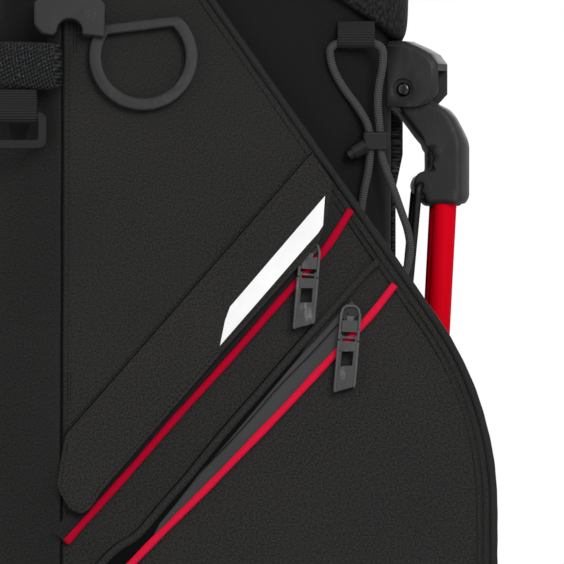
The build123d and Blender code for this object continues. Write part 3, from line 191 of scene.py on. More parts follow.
def carried(path, profile, up, closed=False):
    """Carry a closed profile along a path: point = path + across * side + high * up. profile is (cols, 2)."""
    tangent = along(path, closed)
    up = np.broadcast_to(np.asarray(up, float), path.shape)
    up = unit(up - (up * tangent).sum(1, keepdims=True) * tangent)
    side = np.cross(tangent, up)
    profile = np.broadcast_to(profile, (len(path),) + profile.shape[-2:])
    return path[:, None] + profile[..., :1] * side[:, None] + profile[..., 1:] * up[:, None]


def sweep(name, path, profile, up, finish, node=None, closed=False):
    """A piece made by carrying a profile along a path."""
    return loft(name, carried(path, profile, up, closed), finish, node, closed)


def eased(corners, reach):
    """A closed outline with its corners c eased: (1-t)^2 a + 2t(1-t) c + t^2 b, where a and b lie at a reach from the
    corner along its two runs, or at 0.4 of a shorter run."""
    corners = np.asarray(corners, float)
    t = np.linspace(0, 1, 7)[:, None]
    arcs = []
    for before, corner, after in zip(np.roll(corners, 1, 0), corners, np.roll(corners, -1, 0)):
        a, b = (corner + (end - corner) * min(reach / np.linalg.norm(end - corner), 0.4) for end in (before, after))
        arcs.append((1 - t) ** 2 * a + 2 * t * (1 - t) * corner + t**2 * b)
    return np.concatenate(arcs)


def chamfered(width, height):
    """Closed profile of a bar with its four edges cut off."""
    w, h, c = width / 2, height / 2, EDGE_CUT
    return np.array(
        [(w, c - h), (w, h - c), (w - c, h), (c - w, h), (-w, h - c), (-w, c - h), (c - w, -h), (w - c, -h)]
    )


def oval(width, height, count, power=2.0, lift=0.0):
    """Closed profile of a superellipse: |x/w|^p + |y/h|^p = 1, with w and h half the width and height."""
    turn = np.linspace(0, 2 * np.pi, count, endpoint=False) + np.pi / count
    c, s = np.cos(turn), np.sin(turn)
    x = np.sign(c) * np.abs(c) ** (2 / power) * width / 2
    return np.stack([x, np.sign(s) * np.abs(s) ** (2 / power) * height / 2 + lift], 1)


def smooth_step(value, low, high):
    """0 below low and 1 above high, and t*t*(3 - 2t) between."""
    t = np.clip((value - low) / (high - low), 0, 1)
    return t * t * (3 - 2 * t)


def rolled(distance, radius):
    """Height of a rolled edge at a distance in from it: a quarter circle, from 0 to 1 at its radius."""
    return np.sqrt(np.clip(1 - (1 - np.clip(distance / radius, 0, 1)) ** 2, 0, 1))


def bell(distance, width):
    """1 where the distance is 0, falling off to both sides as exp(-(distance / width)^2)."""
    return np.exp(-((distance / width) ** 2))


def ripple(a, b, size, seed):
    """Soft random waves over two parameters, about -1 to 1: five sines of near wavelengths and seeded headings."""
    draw = np.random.default_rng(seed)
    total = 0.0
    for _ in range(5):
        heading, phase = draw.uniform(0, 2 * np.pi, 2)
        pace = 2 * np.pi / (size * draw.uniform(0.6, 1.6))
        total = total + np.sin(pace * (a * np.cos(heading) + b * np.sin(heading)) + phase)
    return total / 3


# ---- Surfaces of the bag ----
def rounded_loop(half_x, half_y, corner, count):
    """Points evenly spaced round a rectangle whose corners are quarter circles, from the +X +Y corner on."""
    turn = np.linspace(0, np.pi / 2, 17)
    inner_x, inner_y = half_x - corner, half_y - corner
    places = [(inner_x, inner_y, 0), (-inner_x, inner_y, 1), (-inner_x, -inner_y, 2), (inner_x, -inner_y, 3)]
    arcs = [
        np.stack([x + corner * np.cos(turn + q * np.pi / 2), y + corner * np.sin(turn + q * np.pi / 2)], 1)
        for x, y, q in places
    ]
    return respaced(np.concatenate(arcs), count=count, closed=True)


def taper(z, foot, body):
    """Half width of the bag at a height: straight from the foot to where the taper ends."""
    share = np.clip((z - TAPER_BOTTOM) / (TAPER_TOP - TAPER_BOTTOM), 0, 1)
    return foot + (body - foot) * share


def leaning_y(z):
    """Y of the plane of the pockets' front, which leans 7 degrees."""
    return -(FACE_TOP_Y + (FACE_TOP_Z - z) * math.tan(LEAN))


def face_y(z):
    """Y of the left pocket's front: a plane leaning 7 degrees, then two arcs that turn it back to the body."""
    half = (FACE_BOTTOM_Z - ROUND_Z) / 2
    upper_r = half / math.sin(LEAN)
    centre = leaning_y(FACE_BOTTOM_Z) + upper_r * math.cos(LEAN)
    upper = centre - np.sqrt(upper_r**2 - np.clip(z - ROUND_Z - half, -half, half) ** 2)
    lower_r, centre_y, centre_z = 494.3, 337.7, 310.2
    lower = centre_y - np.sqrt(lower_r**2 - (np.minimum(z, ROUND_Z) - centre_z) ** 2)
    return np.where(z >= FACE_BOTTOM_Z, leaning_y(z), np.where(z >= ROUND_Z, upper, lower))


def edge_x(z):
    """X of the pocket's free edge: a slanting line, an arc of radius 211, a straight drop, an arc of radius 329."""
    slant = 2.5 + (FACE_TOP_Z - z) * 151.5 / 217.0
    shoulder = -19.2 + np.sqrt(211.2**2 - (np.clip(z, 495.7, 621.0) - 500.1) ** 2)
    foot = -137.0 + np.sqrt(329.0**2 - (np.minimum(z, 300.0) - 300.0) ** 2)
    return np.where(z >= 621.0, slant, np.where(z >= 300.0, shoulder, foot))


def on_face(x, z, level=0.0):
    """Point on the left pocket's front at X and Z, raised along the front's own normal."""
    slope = face_y(z + 0.5) - face_y(z - 0.5)
    size = np.sqrt(1 + slope**2)
    return stacked(x, face_y(z) - level / size, z + level * slope / size)


def on_pocket(line, level, side):
    """Points over a pocket's front along a line of (X, Z), and the way out of the front at each."""
    points, above = (on_face(line[:, 0], line[:, 1], raised) * (1, -side, 1) for raised in (level, level + 1.0))
    return points, above - points


def placed(pairs):
    """World X and Z of places that are given right of the side seam and over the face's top."""
    return np.asarray(pairs, float) + (SEAM_X, FACE_TOP_Z)


upper_piping_line = placed([(185.0, -148.0), (170.0, -172.5), (159.0, -185.0), (3.0, -360.5)])
lower_piping_line = placed([(213.0, -196.1), (192.8, -221.7), (109.6, -309.5), (54.6, -363.8), (4.0, -417.9)])


def under_line(line, x, z):
    """How far a place lies below a slanting line on the face, across it, taking its slope as 45 degrees or so."""
    order = np.argsort(line[:, 0])
    return (np.interp(x, line[order, 0], line[order, 1]) - z) * 0.69


FLAP_SKIN, FLAP_RISE, HEM, EDGE_OFFSET, TAIL_X = 1.6, 9.8, 4.0, 4.8, 24.5
seam_low, seam_high = placed([(2.1, -292.1), (160.2, -111.0)])
piping_top, piping_end = np.array((159.0, -185.0)), np.array((3.0, -360.5))
piping_slope = (piping_top[1] - piping_end[1]) / (piping_top[0] - piping_end[0])
piping_turn = math.atan(piping_slope)
edge_top = piping_top + EDGE_OFFSET * np.array((-math.sin(piping_turn), math.cos(piping_turn)))
edge_end = np.array((TAIL_X, edge_top[1] - (edge_top[0] - TAIL_X) * piping_slope))
flap_outline = placed([
    (160.2, -111.0), (173.4, -131.0), (170.7, -150.0), (165.2, -169.0), (155.0, -181.4), (102.6, -240.3),
    (24.5, -330.4), (20.0, -338.6), (13.6, -343.4), (5.3, -340.0), (-2.6, -325.8), (-2.4, -322.0), (2.1, -292.1),
])
face_scale = np.array((1.0, 1 / math.cos(LEAN)))
seam_way = unit((seam_high - seam_low) * face_scale)
seam_inward = np.array((seam_way[1], -seam_way[0]))


def past_hem(x, z):
    """Distance across the flap from its hem line, measured on the leaning face."""
    apart = (np.stack([x, z], -1) - seam_low) * face_scale
    return apart @ seam_inward - HEM


flap_tilt = math.atan2(FLAP_RISE - FLAP_SKIN, float(past_hem(*placed(edge_end))))


def flap_rise(x, z):
    """Level of the flap's top over the face: its skin at the hem, and more with the distance from it."""
    return past_hem(x, z) * math.tan(flap_tilt) + FLAP_SKIN / math.cos(flap_tilt)


def on_flap(x, z, level):
    """Point on the flap's top, which rises from its hem at the flap's tilt."""
    return on_face(x, z, flap_rise(x, z) + level)


QUILT_SHARES = (0.004, 0.012, 0.025, 0.05, 0.08, 0.12, 0.2, 0.3, 0.42, 0.56, 0.7, 0.85, 1.0)


def quilted(name, outline, spine, surface, top, bottom, finish, node, body="bag", shares=QUILT_SHARES):
    """A flat padded piece. Rings shrink from the outline to a spine: place = edge + (middle - edge) * share.
    top(a, b, d) and bottom(a, b, d) give the levels at a distance d in from the edge, and meet at d = 0."""
    start, end = np.asarray(spine, float)
    way = end - start
    inward = start + np.clip((outline - start) @ way / (way @ way), 0, 1)[:, None] * way - outline
    share = np.array(shares)[:, None]
    spread = outline + inward * share[..., None]
    a, b, depth = spread[..., 0], spread[..., 1], np.linalg.norm(inward, axis=1) * share
    rim_a, rim_b = outline.T
    rim = surface(rim_a, rim_b, (top(rim_a, rim_b, 0 * rim_a) + bottom(rim_a, rim_b, 0 * rim_a)) / 2)
    upper, lower = (surface(a, b, level(a, b, depth)) for level in (top, bottom))
    sheets = np.concatenate([upper[::-1], rim[None], lower])
    faces = grid_quads(*sheets.shape[:2])
    flat = np.concatenate([spread[::-1], outline[None], spread]).reshape(-1, 2) * MM
    return make_piece(name, *outward(sheets, faces, flat[faces]), finish, node, body)


# ---- Stitching ----
stitch_rows = []


def stitch(line, surface, spacing=3.3, length=2.3, level=0.12):
    """Lay a row of thread beads along a line of (a, b) places on a surface."""
    row = respaced(line, step=spacing)
    place = surface(row[:, 0], row[:, 1], level)
    up = unit(surface(row[:, 0], row[:, 1], level + 1.0) - place)
    stitch_rows.append((place, along(place), up, length))


def sew():
    """All beads as one piece: each is five six-sided rings along its row, drawn almost to a point at both ends."""
    reach = np.array([-0.5, -0.34, 0.0, 0.34, 0.5])[:, None, None]
    girth = np.array([0.05, 0.75, 1.0, 0.75, 0.05])[:, None, None] * THREAD / 2
    turn = np.arange(6)[:, None] * np.pi / 3
    beads = []
    for place, way, up, length in stitch_rows:
        place, way, up, side = (v[:, None, None] for v in (place, way, up, np.cross(way, up)))
        beads.append(place + reach * length * way + girth * (np.cos(turn) * side + np.sin(turn) * 0.7 * up))
    beads = np.concatenate(beads)
    faces = np.arange(len(beads))[:, None, None] * 30 + grid_quads(5, 6)
    # The beads are darkened as painted shade of their stitch holes.
    make_piece("stitching_black", *outward(beads, faces.reshape(-1, 4)), shaded_black_thread)


# ---- Materials ----
class Wire:
    """A value that a material works out, so that sums of patterns are written as arithmetic."""

    def __init__(self, finish, socket):
        self.finish, self.socket = finish, socket

    def maths(self, operation, *others):
        return self.finish.node("ShaderNodeMath", dict(operation=operation), self, *others)

    def __add__(self, other):
        return self.maths("ADD", other)

    def __sub__(self, other):
        return self.maths("SUBTRACT", other)

    def __mul__(self, other):
        return self.maths("MULTIPLY", other)

    def wave(self, length):
        """-1 to 1 over each length."""
        return (self * (2 * math.pi / length)).maths("SINE")

    def ribs(self, length):
        """0 to 1 over each length."""
        return self.wave(length) * 0.5 + 0.5

    def between(self, low, high):
        """0 at low and 1 at high, smoothly."""
        return self.finish.node("ShaderNodeMapRange", dict(interpolation_type="SMOOTHSTEP"), self, low, high, 0.0, 1.0)


class Finish:
    """One procedural material of the bag, and the slot that it stands for."""

    def __init__(self, name, slot, rough, gloss, metal=0.0):
        self.material, self.slot = bpy.data.materials.new(name), slot
        self.material.use_nodes = True
        self.nodes, self.links = self.material.node_tree.nodes, self.material.node_tree.links
        self.shader = self.nodes["Principled BSDF"]
        for socket, value in (("Roughness", rough), ("Specular IOR Level", gloss), ("Metallic", metal)):
            self.shader.inputs[socket].default_value = value

    def node(self, kind, settings=None, *values, out=0, **named):
        """Add a node, set it up, then give its inputs values or wires, in order or by place i7=..."""
        node = self.nodes.new(kind)
        for key, value in (settings or {}).items():
            setattr(node, key, value)
        for place, value in list(enumerate(values)) + [(int(key[1:]), value) for key, value in named.items()]:
            if isinstance(value, Wire):
                self.links.new(value.socket, node.inputs[place])
            else:
                node.inputs[place].default_value = value
        return Wire(self, node.outputs[out])

    def where(self):
        """Place in the object's own coordinates."""
        return self.node("ShaderNodeTexCoord", out=3)

    def cloth(self):
        """Place in the piece's own map of its cloth, and its two lengths."""
        place = self.node("ShaderNodeUVMap", dict(uv_map="cloth"))
        split = self.nodes.new("ShaderNodeSeparateXYZ")
        self.links.new(place.socket, split.inputs[0])
        return place, Wire(self, split.outputs[0]), Wire(self, split.outputs[1])

    def noise(self, vector, scale, detail=2.0, stretch=None):
        """Smooth noise from 0 to 1, so many to the metre."""
        if stretch:
            vector = self.node("ShaderNodeVectorMath", dict(operation="MULTIPLY"), vector, stretch)
        return self.node("ShaderNodeTexNoise", None, i0=vector, i2=scale, i3=detail)

    def mix(self, share, first, second):
        """One colour turning into another."""
        return self.node("ShaderNodeMix", dict(data_type="RGBA"), out=2, i0=share, i6=first, i7=second)

    def set(self, socket, value):
        self.links.new(value.socket, self.shader.inputs[socket])

    def relief(self, height, distance, strength):
        """The finish, with bump of the given depth in metres."""
        bump = self.nodes.new("ShaderNodeBump")
        bump.inputs["Strength"].default_value, bump.inputs["Distance"].default_value = strength, distance
        self.links.new(height.socket, bump.inputs["Height"])
        self.links.new(bump.outputs[0], self.shader.inputs["Normal"])
        return self


def tone(level, warm=0.0):
    """A grey of an sRGB level, as linear light, a little warmer or cooler."""
    light = [((level * (1 + k * warm)) + 0.055) / 1.055 for k in (1, 0, -1)]
    return tuple(max(v, 0.0) ** 2.4 for v in light) + (1.0,)


def srgb(r, g, b):
    """An sRGB colour as linear light."""
    return tuple(v / 12.92 if v < 0.04 else ((v + 0.055) / 1.055) ** 2.4 for v in (r, g, b)) + (1.0,)


def twill(name, slot, dark, light, thread=0.0013, rough=0.85, gloss=0.12):
    """Fine twill: slanting ribs crossed by the weft, specks of thread, and a slow mottling from handling."""
    f = Finish(name, slot, rough, gloss)
    cloth, u, v = f.cloth()
    rib, weft = (u + v).ribs(thread), (u - v).ribs(thread * 0.5)
    specks, mottle = f.noise(cloth, 1.1 / thread, 3.0), f.noise(f.where(), 9.0)
    share = rib * 0.34 + weft * 0.16 + (specks - 0.5) * 1.5 + (mottle - 0.5) * 0.22 + 0.28
    f.set("Base Color", f.mix(share.between(0.05, 0.95), dark, light))
    f.set("Roughness", specks * 0.16 + (rough - 0.08))
    return f.relief(rib * 0.6 + weft * 0.4 + specks * 0.9, 0.00012, 0.8)


def pebbled(name, slot, dark, light):
    """Coarse pebbled cloth: rounded lumps a few mm apart, crossed by fine threads."""
    f = Finish(name, slot, 0.8, 0.1)
    cloth = f.cloth()[0]
    height = f.noise(cloth, 430.0) * 1.4 + f.noise(cloth, 1500.0) * 0.5
    f.set("Base Color", f.mix(height.between(0.62, 1.28), dark, light))
    return f.relief(height, 0.0009, 0.9)


def spacer_mesh(name, slot, dark, light):
    """Spacer mesh: slanting rows of small round holes set in a knitted face, with a pale thread here and there."""
    f = Finish(name, slot, 0.8, 0.12)
    place, u, v = f.cloth()
    holes = (u + v * 0.5).wave(0.0042) * (v - u * 0.5).wave(0.0036)
    knit, pale = f.noise(place, 1300.0), f.noise(place, 520.0, 1.0).between(0.60, 0.70)
    cloth = f.mix((holes * 0.6 + knit).between(0.1, 1.1), dark, light)
    f.set("Base Color", f.mix(pale * 0.55, cloth, tone(0.34)))
    return f.relief(holes * -1.0 + knit * 0.4, 0.0005, 0.9)


def ribbed(name, slot, dark, light, rib):
    """Webbing: ribs across the strip, each with its own twisted threads."""
    f = Finish(name, slot, 0.75, 0.2)
    cloth, u, v = f.cloth()
    ribs, threads, specks = v.ribs(rib), (u + v * 0.35).ribs(0.0011), f.noise(cloth, 1200.0)
    f.set("Base Color", f.mix((ribs * 0.6 + threads * 0.25 + specks * 0.3).between(0.15, 0.95), dark, light))
    return f.relief(ribs + threads * 0.3, 0.0005, 0.9)


def braid(name, slot, dark, light, across=0.0021, lengthwise=0.0030, rough=0.7, gloss=0.2):
    """Round braid: strands that cross each other in diamonds round and along the cord."""
    f = Finish(name, slot, rough, gloss)
    cloth, u, v = f.cloth()
    u, v = u * (1 / across), v * (1 / lengthwise)
    strands = (u + v).wave(1.0) * (u - v).wave(1.0) * 0.5 + 0.5
    specks = f.noise(cloth, 1600.0)
    f.set("Base Color", f.mix((strands * 0.75 + specks * 0.35).between(0.1, 0.9), dark, light))
    return f.relief(strands + specks * 0.3, 0.00035, 0.9)


def moulded(name, slot, dark, light, rough, gloss, grain=900.0, depth=0.00004, worn=None):
    """Moulded plastic or rubber: a fine eroded grain, slow changes of tone, and scuffs where it is worn."""
    f = Finish(name, slot, rough, gloss)
    place = f.where()
    grains, clouds = f.noise(place, grain, 3.0), f.noise(place, 30.0, 3.0)
    colour = f.mix((grains * 0.35 + clouds * 0.65).between(0.25, 0.75), dark, light)
    if worn:
        scuffs = f.noise(place, 210.0, 4.0, (1.0, 1.0, 0.35))
        colour = f.mix((scuffs * 0.8 + grains * 0.2).between(0.54, 0.72), colour, worn)
    f.set("Base Color", colour)
    f.set("Roughness", clouds * 0.2 + grains * 0.1 + (rough - 0.15))
    return f.relief(grains, depth, 0.7)


def metal(name, slot, colour, rough, gloss=0.5, metallic=1.0):
    """Polished or coated metal with faint drawn lines and fingering."""
    f = Finish(name, slot, rough, gloss, metallic)
    place = f.where()
    lines, clouds = f.noise(place, 700.0, 2.0, (1.0, 1.0, 0.06)), f.noise(place, 40.0)
    second = tuple(v * 0.82 for v in colour[:3]) + (1.0,)
    f.set("Base Color", f.mix(lines * 0.5 + clouds * 0.5, second, colour))
    f.set("Roughness", lines * 0.12 + clouds * 0.1 + (rough - 0.11))
    return f.relief(lines, 0.00002, 0.4)


bag_cloth = twill("bag_cloth", "bag_fabric", tone(0.028, 0.02), tone(0.190, 0.02))
# Darker, flatter copy of the bag's twill for the body shell: the shell's own black cloth, darkened further as painted
# shade on the body behind the pockets.
shaded_dark_cloth = twill("shaded_dark_cloth", "bag_fabric", tone(0.035), tone(0.105), thread=0.0014)
cuff_cloth = pebbled("cuff_cloth", "cuff_fabric", tone(0.02), tone(0.17, -0.02))
# Slightly lighter copy of the bag's twill for the flap and the zip's lip roll: painted light on the flap's slanted
# top.
lit_flap_cloth = twill("lit_flap_cloth", "bag_fabric", tone(0.034, 0.02), tone(0.204, 0.02))
lining = twill("lining", "liner_fabric", tone(0.05), tone(0.09), thread=0.0015)
rim_cloth = twill("rim_cloth", "edge_piping", tone(0.055), tone(0.155), gloss=0.14, rough=0.75)
fold_shade = twill("fold_shade", "bag_fabric", tone(0.015), tone(0.055), thread=0.0012, gloss=0.05)
strap_mesh = spacer_mesh("strap_mesh", "strap_mesh", tone(0.03, -0.03), tone(0.20, -0.03))
strap_binding = ribbed("strap_binding", "strap_mesh", tone(0.03), tone(0.12), 0.0016)
webbing = ribbed("webbing", "webbing", tone(0.03), tone(0.15), 0.0017)
cord_braid = braid("cord_braid", "cord_braid", tone(0.02), tone(0.30))
PIPING_WEAVE = 0.0012, 0.0016, 0.75, 0.06
# Two copies of the one red piping cloth: the lower and right pipings take a lighter copy than the upper piping, which
# paints light on them.
red_weave = braid("red_weave", "red_piping", srgb(0.50, 0.006, 0.11), srgb(0.81, 0.02, 0.19), *PIPING_WEAVE)
lit_red_weave = braid("lit_red_weave", "red_piping", srgb(0.62, 0.03, 0.16), srgb(1.0, 0.12, 0.28), *PIPING_WEAVE)
# Black thread made darker than the cloth, as painted shade of the holes that the stitches sink into.
shaded_black_thread = moulded("shaded_black_thread", "bag_fabric", tone(0.015), tone(0.07), 0.7, 0.1, 2500.0)
coated_tape = moulded("coated_tape", "zip_coating", tone(0.165), tone(0.215), 0.55, 0.16, 1500.0)
# The hidden upper zip's coated tape, darkened from the coated grey as painted shade under the flap.
shaded_zip_tape = moulded("shaded_zip_tape", "zip_coating", tone(0.045), tone(0.085), 0.6, 0.12, 1500.0)
grey_plastic = moulded("grey_plastic", "moulded_grey", tone(0.118), tone(0.165), 0.55, 0.2, worn=tone(0.215))
loop_plastic = moulded("loop_plastic", "moulded_black", tone(0.035), tone(0.065), 0.4, 0.2)
black_plastic = moulded("black_plastic", "moulded_black", tone(0.028), tone(0.065), 0.4, 0.2)
PULLER_GRAIN = 0.5, 0.22, 1400.0, 0.00006
# The loop and raised rails get a lighter copy of the puller plastic than the bridge and sunk panel: a painted
# highlight on the raised parts, besides the lighter wear scuffs that both copies have.
puller_plastic = moulded("puller_plastic", "puller_plastic", tone(0.17), tone(0.24), *PULLER_GRAIN, tone(0.42))
lit_puller_edge = moulded("lit_puller_edge", "puller_plastic", tone(0.21), tone(0.31), *PULLER_GRAIN, tone(0.48))
foot_rubber = moulded("foot_rubber", "foot_rubber", tone(0.05), tone(0.09), 0.65, 0.2, 600.0, 0.0001)
label_white = moulded(
    "label_white", "label_white", srgb(0.90, 0.90, 0.90), srgb(0.96, 0.96, 0.96), 0.45, 0.3, 2200.0, 0.00002
)
red_tube = metal("red_tube", "red_tube", srgb(0.83, 0.0, 0.10), 0.6, 0.03, 0.0)
black_wire = metal("black_wire", "steel_wire", tone(0.045), 0.45, 0.2, 0.0)
dark_rivet = metal("dark_rivet", "rivet_metal", tone(0.24), 0.2)
gunmetal = metal("gunmetal", "slider_metal", tone(0.14), 0.35)

SLOT_FINISH = {
    finish.slot: finish
    for finish in (
        bag_cloth, cuff_cloth, lining, rim_cloth, red_weave, coated_tape, grey_plastic, black_plastic, red_tube,
        black_wire, dark_rivet, foot_rubber, gunmetal, puller_plastic, label_white, strap_mesh, webbing, cord_braid,
    )
}
# The upper zip takes the darkened tape: painted shade under the flap.
SOLID_FINISH = {"upper_zip": shaded_zip_tape, "strap_loop_left": loop_plastic, "strap_loop_right": loop_plastic}
SLOT_OF = {part["node"]: part["material_slot"] for part in frame["record"]["subparts"]}
BODY_OF = {node: body for body, nodes in frame["record"]["behaviour"]["bodies"].items() for node in nodes}
for solid, slot in SLOT_OF.items():
    materials = frame["nodes"][solid].data.materials
    materials.clear()
    materials.append(SOLID_FINISH.get(solid, SLOT_FINISH[slot]).material)


# ---- Moulded parts ----
def moulded_part(node, radius):
    """A copy of a solid with its triangles merged into flat faces, and a rounded edge of the given radius wherever two
    faces meet at over 32 degrees."""
    build = bmesh.new()
    build.from_mesh(frame["nodes"][node].data)
    bmesh.ops.remove_doubles(build, verts=build.verts, dist=0.00001)
    bmesh.ops.dissolve_limit(build, angle_limit=math.radians(0.6), verts=build.verts, edges=build.edges)
    mesh = bpy.data.meshes.new(f"{node}_moulding")
    build.to_mesh(mesh)
    build.free()
    mesh.polygons.foreach_set("use_smooth", np.ones(len(mesh.polygons), bool))
    mesh.materials.append(SLOT_FINISH[SLOT_OF[node]].material)
    piece = shown(mesh.name, mesh)
    bevel = piece.modifiers.new("edges", "BEVEL")
    bevel.width, bevel.segments, bevel.limit_method = radius * MM, 2, "ANGLE"
    bevel.angle_limit, bevel.harden_normals, bevel.use_clamp_overlap = math.radians(32), True, False
    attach(piece, BODY_OF[node])
    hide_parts(node)


NECK_HALF, SOCKET_HALF = 8.0, 10.6
ELBOW_OUTLINE = [
    (-8.6, -5.0), (-5.4, -11.8), (0.7, -19.8), (7.5, -28.0), (14.0, -34.6), (14.2, -50.5), (11.8, -53.2),
    (7.6, -55.2), (5.4, -60.0), (6.4, -65.4), (12.4, -68.6), (13.4, -72.4), (16.2, -74.4), (35.4, -74.4),
    (37.6, -72.0), (38.8, -69.0), (38.8, -36.0), (37.9, -31.8), (35.2, -25.4), (31.1, -17.9), (26.6, -12.9),
    (21.5, -10.4), (17.5, -8.8), (9.4, 3.0), (4.0, 8.4), (-4.0, 8.4),
]


def leg_elbow(side, name):
    """Cast elbow of a leg, in the leg's own leaning plane: a bent plate that thickens from the neck to the socket,
    sinks beside the boss, and slopes off near its outline."""
    splay = math.radians(20.0)
    pivot = np.array([139.5, -62.0, 768.6])
    ways = np.array([(math.cos(splay), -math.sin(splay), 0), (0, 0, 1), (-math.sin(splay), -math.cos(splay), 0)])

    def place(a, b, c):
        return (pivot + stacked(a, b, c) @ ways) * (1, -side, 1)

    def half(a, b, d):
        thick = NECK_HALF + (SOCKET_HALF - NECK_HALF) * smooth_step(-b, 20.0, 40.0)
        slope = 2.6 * (1 - np.clip(d / 3.4, 0, 1)) ** 1.6 + 1.4 * (1 - np.clip(d / 0.9, 0, 1)) ** 2
        recess = smooth_step(-b, 36, 39) * (1 - smooth_step(-b, 52, 54)) * (1 - smooth_step(a, 18.5, 20.5))
        return thick - slope - 4.5 * recess

    quilted(f"leg_elbow_cast_{name}", respaced(eased(ELBOW_OUTLINE, 2.0), step=0.8, closed=True),
            [(3.0, -6.0), (26.0, -62.0)], place, half, lambda a, b, d: -half(a, b, d), grey_plastic,
            f"leg_elbow_{name}", f"leg_{name}", (0.02, 0.05, 0.09, 0.14, 0.2, 0.27, 0.35, 0.45, 0.57, 0.7, 0.85, 1.0))


# ---- Bag body and cuff ----
def bag_shell():
    """Fabric tube: outside up, inside down. Its outside ripples softly, except near the base and the cuff."""
    heights = np.concatenate([[TAPER_BOTTOM], np.linspace(90, SHELL_TOP - 2, 90), [SHELL_TOP]])
    outside, inside = [], []
    for z in heights:
        loop = rounded_loop(taper(z, FOOT_X, BODY_X), taper(z, FOOT_Y, BODY_Y), BODY_CORNER, 240)
        out = unit(loop / (BODY_X**2, BODY_Y**2))
        calm = smooth_step(z, 90, 140) * (1 - smooth_step(z, 790, 835))
        grow = (ripple(np.arange(240) * 2.7, z, 90.0, 3) * 0.5 - 0.4) * calm
        outside.append(lifted(loop + out * grow[:, None], z))
        inside.append(lifted(loop - out * 3.0, z))
    # The shell's darker twill paints shade on the body behind the pockets, besides its own black.
    loft("bag_shell", np.array(outside + inside[::-1]), shaded_dark_cloth, "shell", True)


def padded_cuff():
    """Padded band round the mouth: at each place round the bag a tall rounded section, from its lower edge to the rim.
    The lower edge is level, then falls towards the leg bracket."""
    count, top = 300, 871.6
    inner, outer = (rounded_loop(BODY_X + e, BODY_Y + e, BODY_CORNER + c, count) for e, c in ((0.35, 0), (11.3, 11.3)))
    low = np.interp(outer[:, 0], [72.0, 136.3], [840.0, 800.6]) + 0.3
    turn = np.linspace(-np.pi / 2, np.pi / 2, 25)
    share_out = np.sign(np.cos(turn)) * np.abs(np.cos(turn)) ** 0.35
    share_up = (np.sin(turn) * (1.15 - 0.15 * np.abs(np.sin(turn))) + 1) / 2
    sections = []
    for out, up in zip(share_out, share_up):
        swell = out * (1 + 0.03 * ripple(np.arange(count) * 2.4, up * 60.0, 45.0, 11))
        sections.append(lifted(inner + (outer - inner) * np.minimum(swell, 1.06)[:, None], low + (top - low) * up))
    sections += [lifted(inner, low + (top - low) * up) for up in (0.75, 0.5, 0.25)]
    loft("padded_cuff", np.stack(sections, 1), cuff_cloth, "top_cuff", True)


# ---- Side pockets ----
def front_relief(x, z, side):
    """Level of a pocket's front. It sinks at the seams and beside the pipings, and swells between them by a few mm."""
    in_rim, off_seam = edge_x(z) - x, x - SEAM_X
    below = under_line(lower_piping_line, x, z)
    level = -0.5 + 0.35 * ripple(x, z, 120.0, 5) + 0.12 * ripple(x, z, 34.0, 8)
    level -= 1.2 * bell(off_seam, 1.3) + 0.3 * bell(off_seam - 3.9, 1.2)
    level -= 0.9 * bell(in_rim - 4.2, 1.8)
    swell = smooth_step(below, 6, 60) * smooth_step(in_rim, 3, 45) * smooth_step(z, 110, 230)
    level += 3.6 * swell + 0.7 * swell * ripple(x * 0.6, z, 150.0, 14)
    level += 0.55 * bell(below - 5.2, 2.2) * (below > 2)
    if side < 0:
        level -= 0.8 * smooth_step(under_line(upper_piping_line, x, z), 4, 12) * (1 - smooth_step(below, -24, -14))
        level -= 0.9 * bell(under_line(np.stack([seam_low, seam_high]), x, z), 1.5) * (x < 78)
    return level


def side_pocket(side, name):
    """Pocket skin, row by row up the bag: strap-side wall, slanted corner, seam, front and free edge. Past the body's
    side it turns back just behind its front; elsewhere it goes back to the body. It closes behind the body's face."""
    heights = np.concatenate([[POCKET_BOTTOM_Z + 0.3], np.linspace(107, 836, 430), [FACE_TOP_Z - 0.3]])
    wall, facet = np.linspace(0, 1, 7)[:-1], np.linspace(0, 1, 25)[:-1]
    share = np.linspace(0, 1, 211) ** 1.25
    rings = []
    for z in heights:
        y, edge, plane_y = float(face_y(z)), float(edge_x(z)) - 0.6, leaning_y(z)
        turn = np.array((FACET_X, max(min(plane_y + FACET_DEPTH, -ROOT_Y - 2), y)))
        x = SEAM_X + (edge - SEAM_X) * share
        ends = smooth_step(z, POCKET_BOTTOM_Z, POCKET_BOTTOM_Z + 5) * (1 - smooth_step(z, FACE_TOP_Z - 5, FACE_TOP_Z))
        front = on_face(x, z, front_relief(x, z, side) * ends)[:, :2]
        sag = np.sin(facet * np.pi) * (1.4 + 0.8 * math.sin(z / 57.0)) * ends
        corner = turn + ((SEAM_X, min(y, plane_y + 9.0)) - turn) * facet[:, None] + 0.7 * sag[:, None]
        corner[:, 1] = np.maximum(corner[:, 1], y)
        side_wall = stacked(FACET_X, -ROOT_Y + (turn[1] + ROOT_Y) * wall)
        if edge > 127.0:
            hidden = [(edge, y + 0.75), (edge, y + 1.5), (BODY_X, y + 1.5), (116.0, -86.0)]
        else:
            inner = max(edge - 4.0, SEAM_X + 4)
            hidden = [(edge, y * 0.6 - 37.6), (edge, -94.5), (inner, -92.0), (inner - 3.0, -88.0)]
        hidden += [(-60.0, -88.0), (-100.0, -80.0), (-122.0, -58.0)]
        rings.append(lifted(np.concatenate([side_wall, corner, front, hidden]), z))
    loft(f"side_pocket_skin_{name}", np.array(rings) * (1, -side, 1), bag_cloth, f"side_pocket_{name}")


def edge_route(offset, top, bottom, count):
    """Line down the free edge in front view, moved inwards by an offset across it."""
    z = np.linspace(top, bottom, count)
    line = np.stack([edge_x(z), z], 1)
    way = along(line)
    return line + offset * np.stack([way[:, 1], -way[:, 0]], 1)


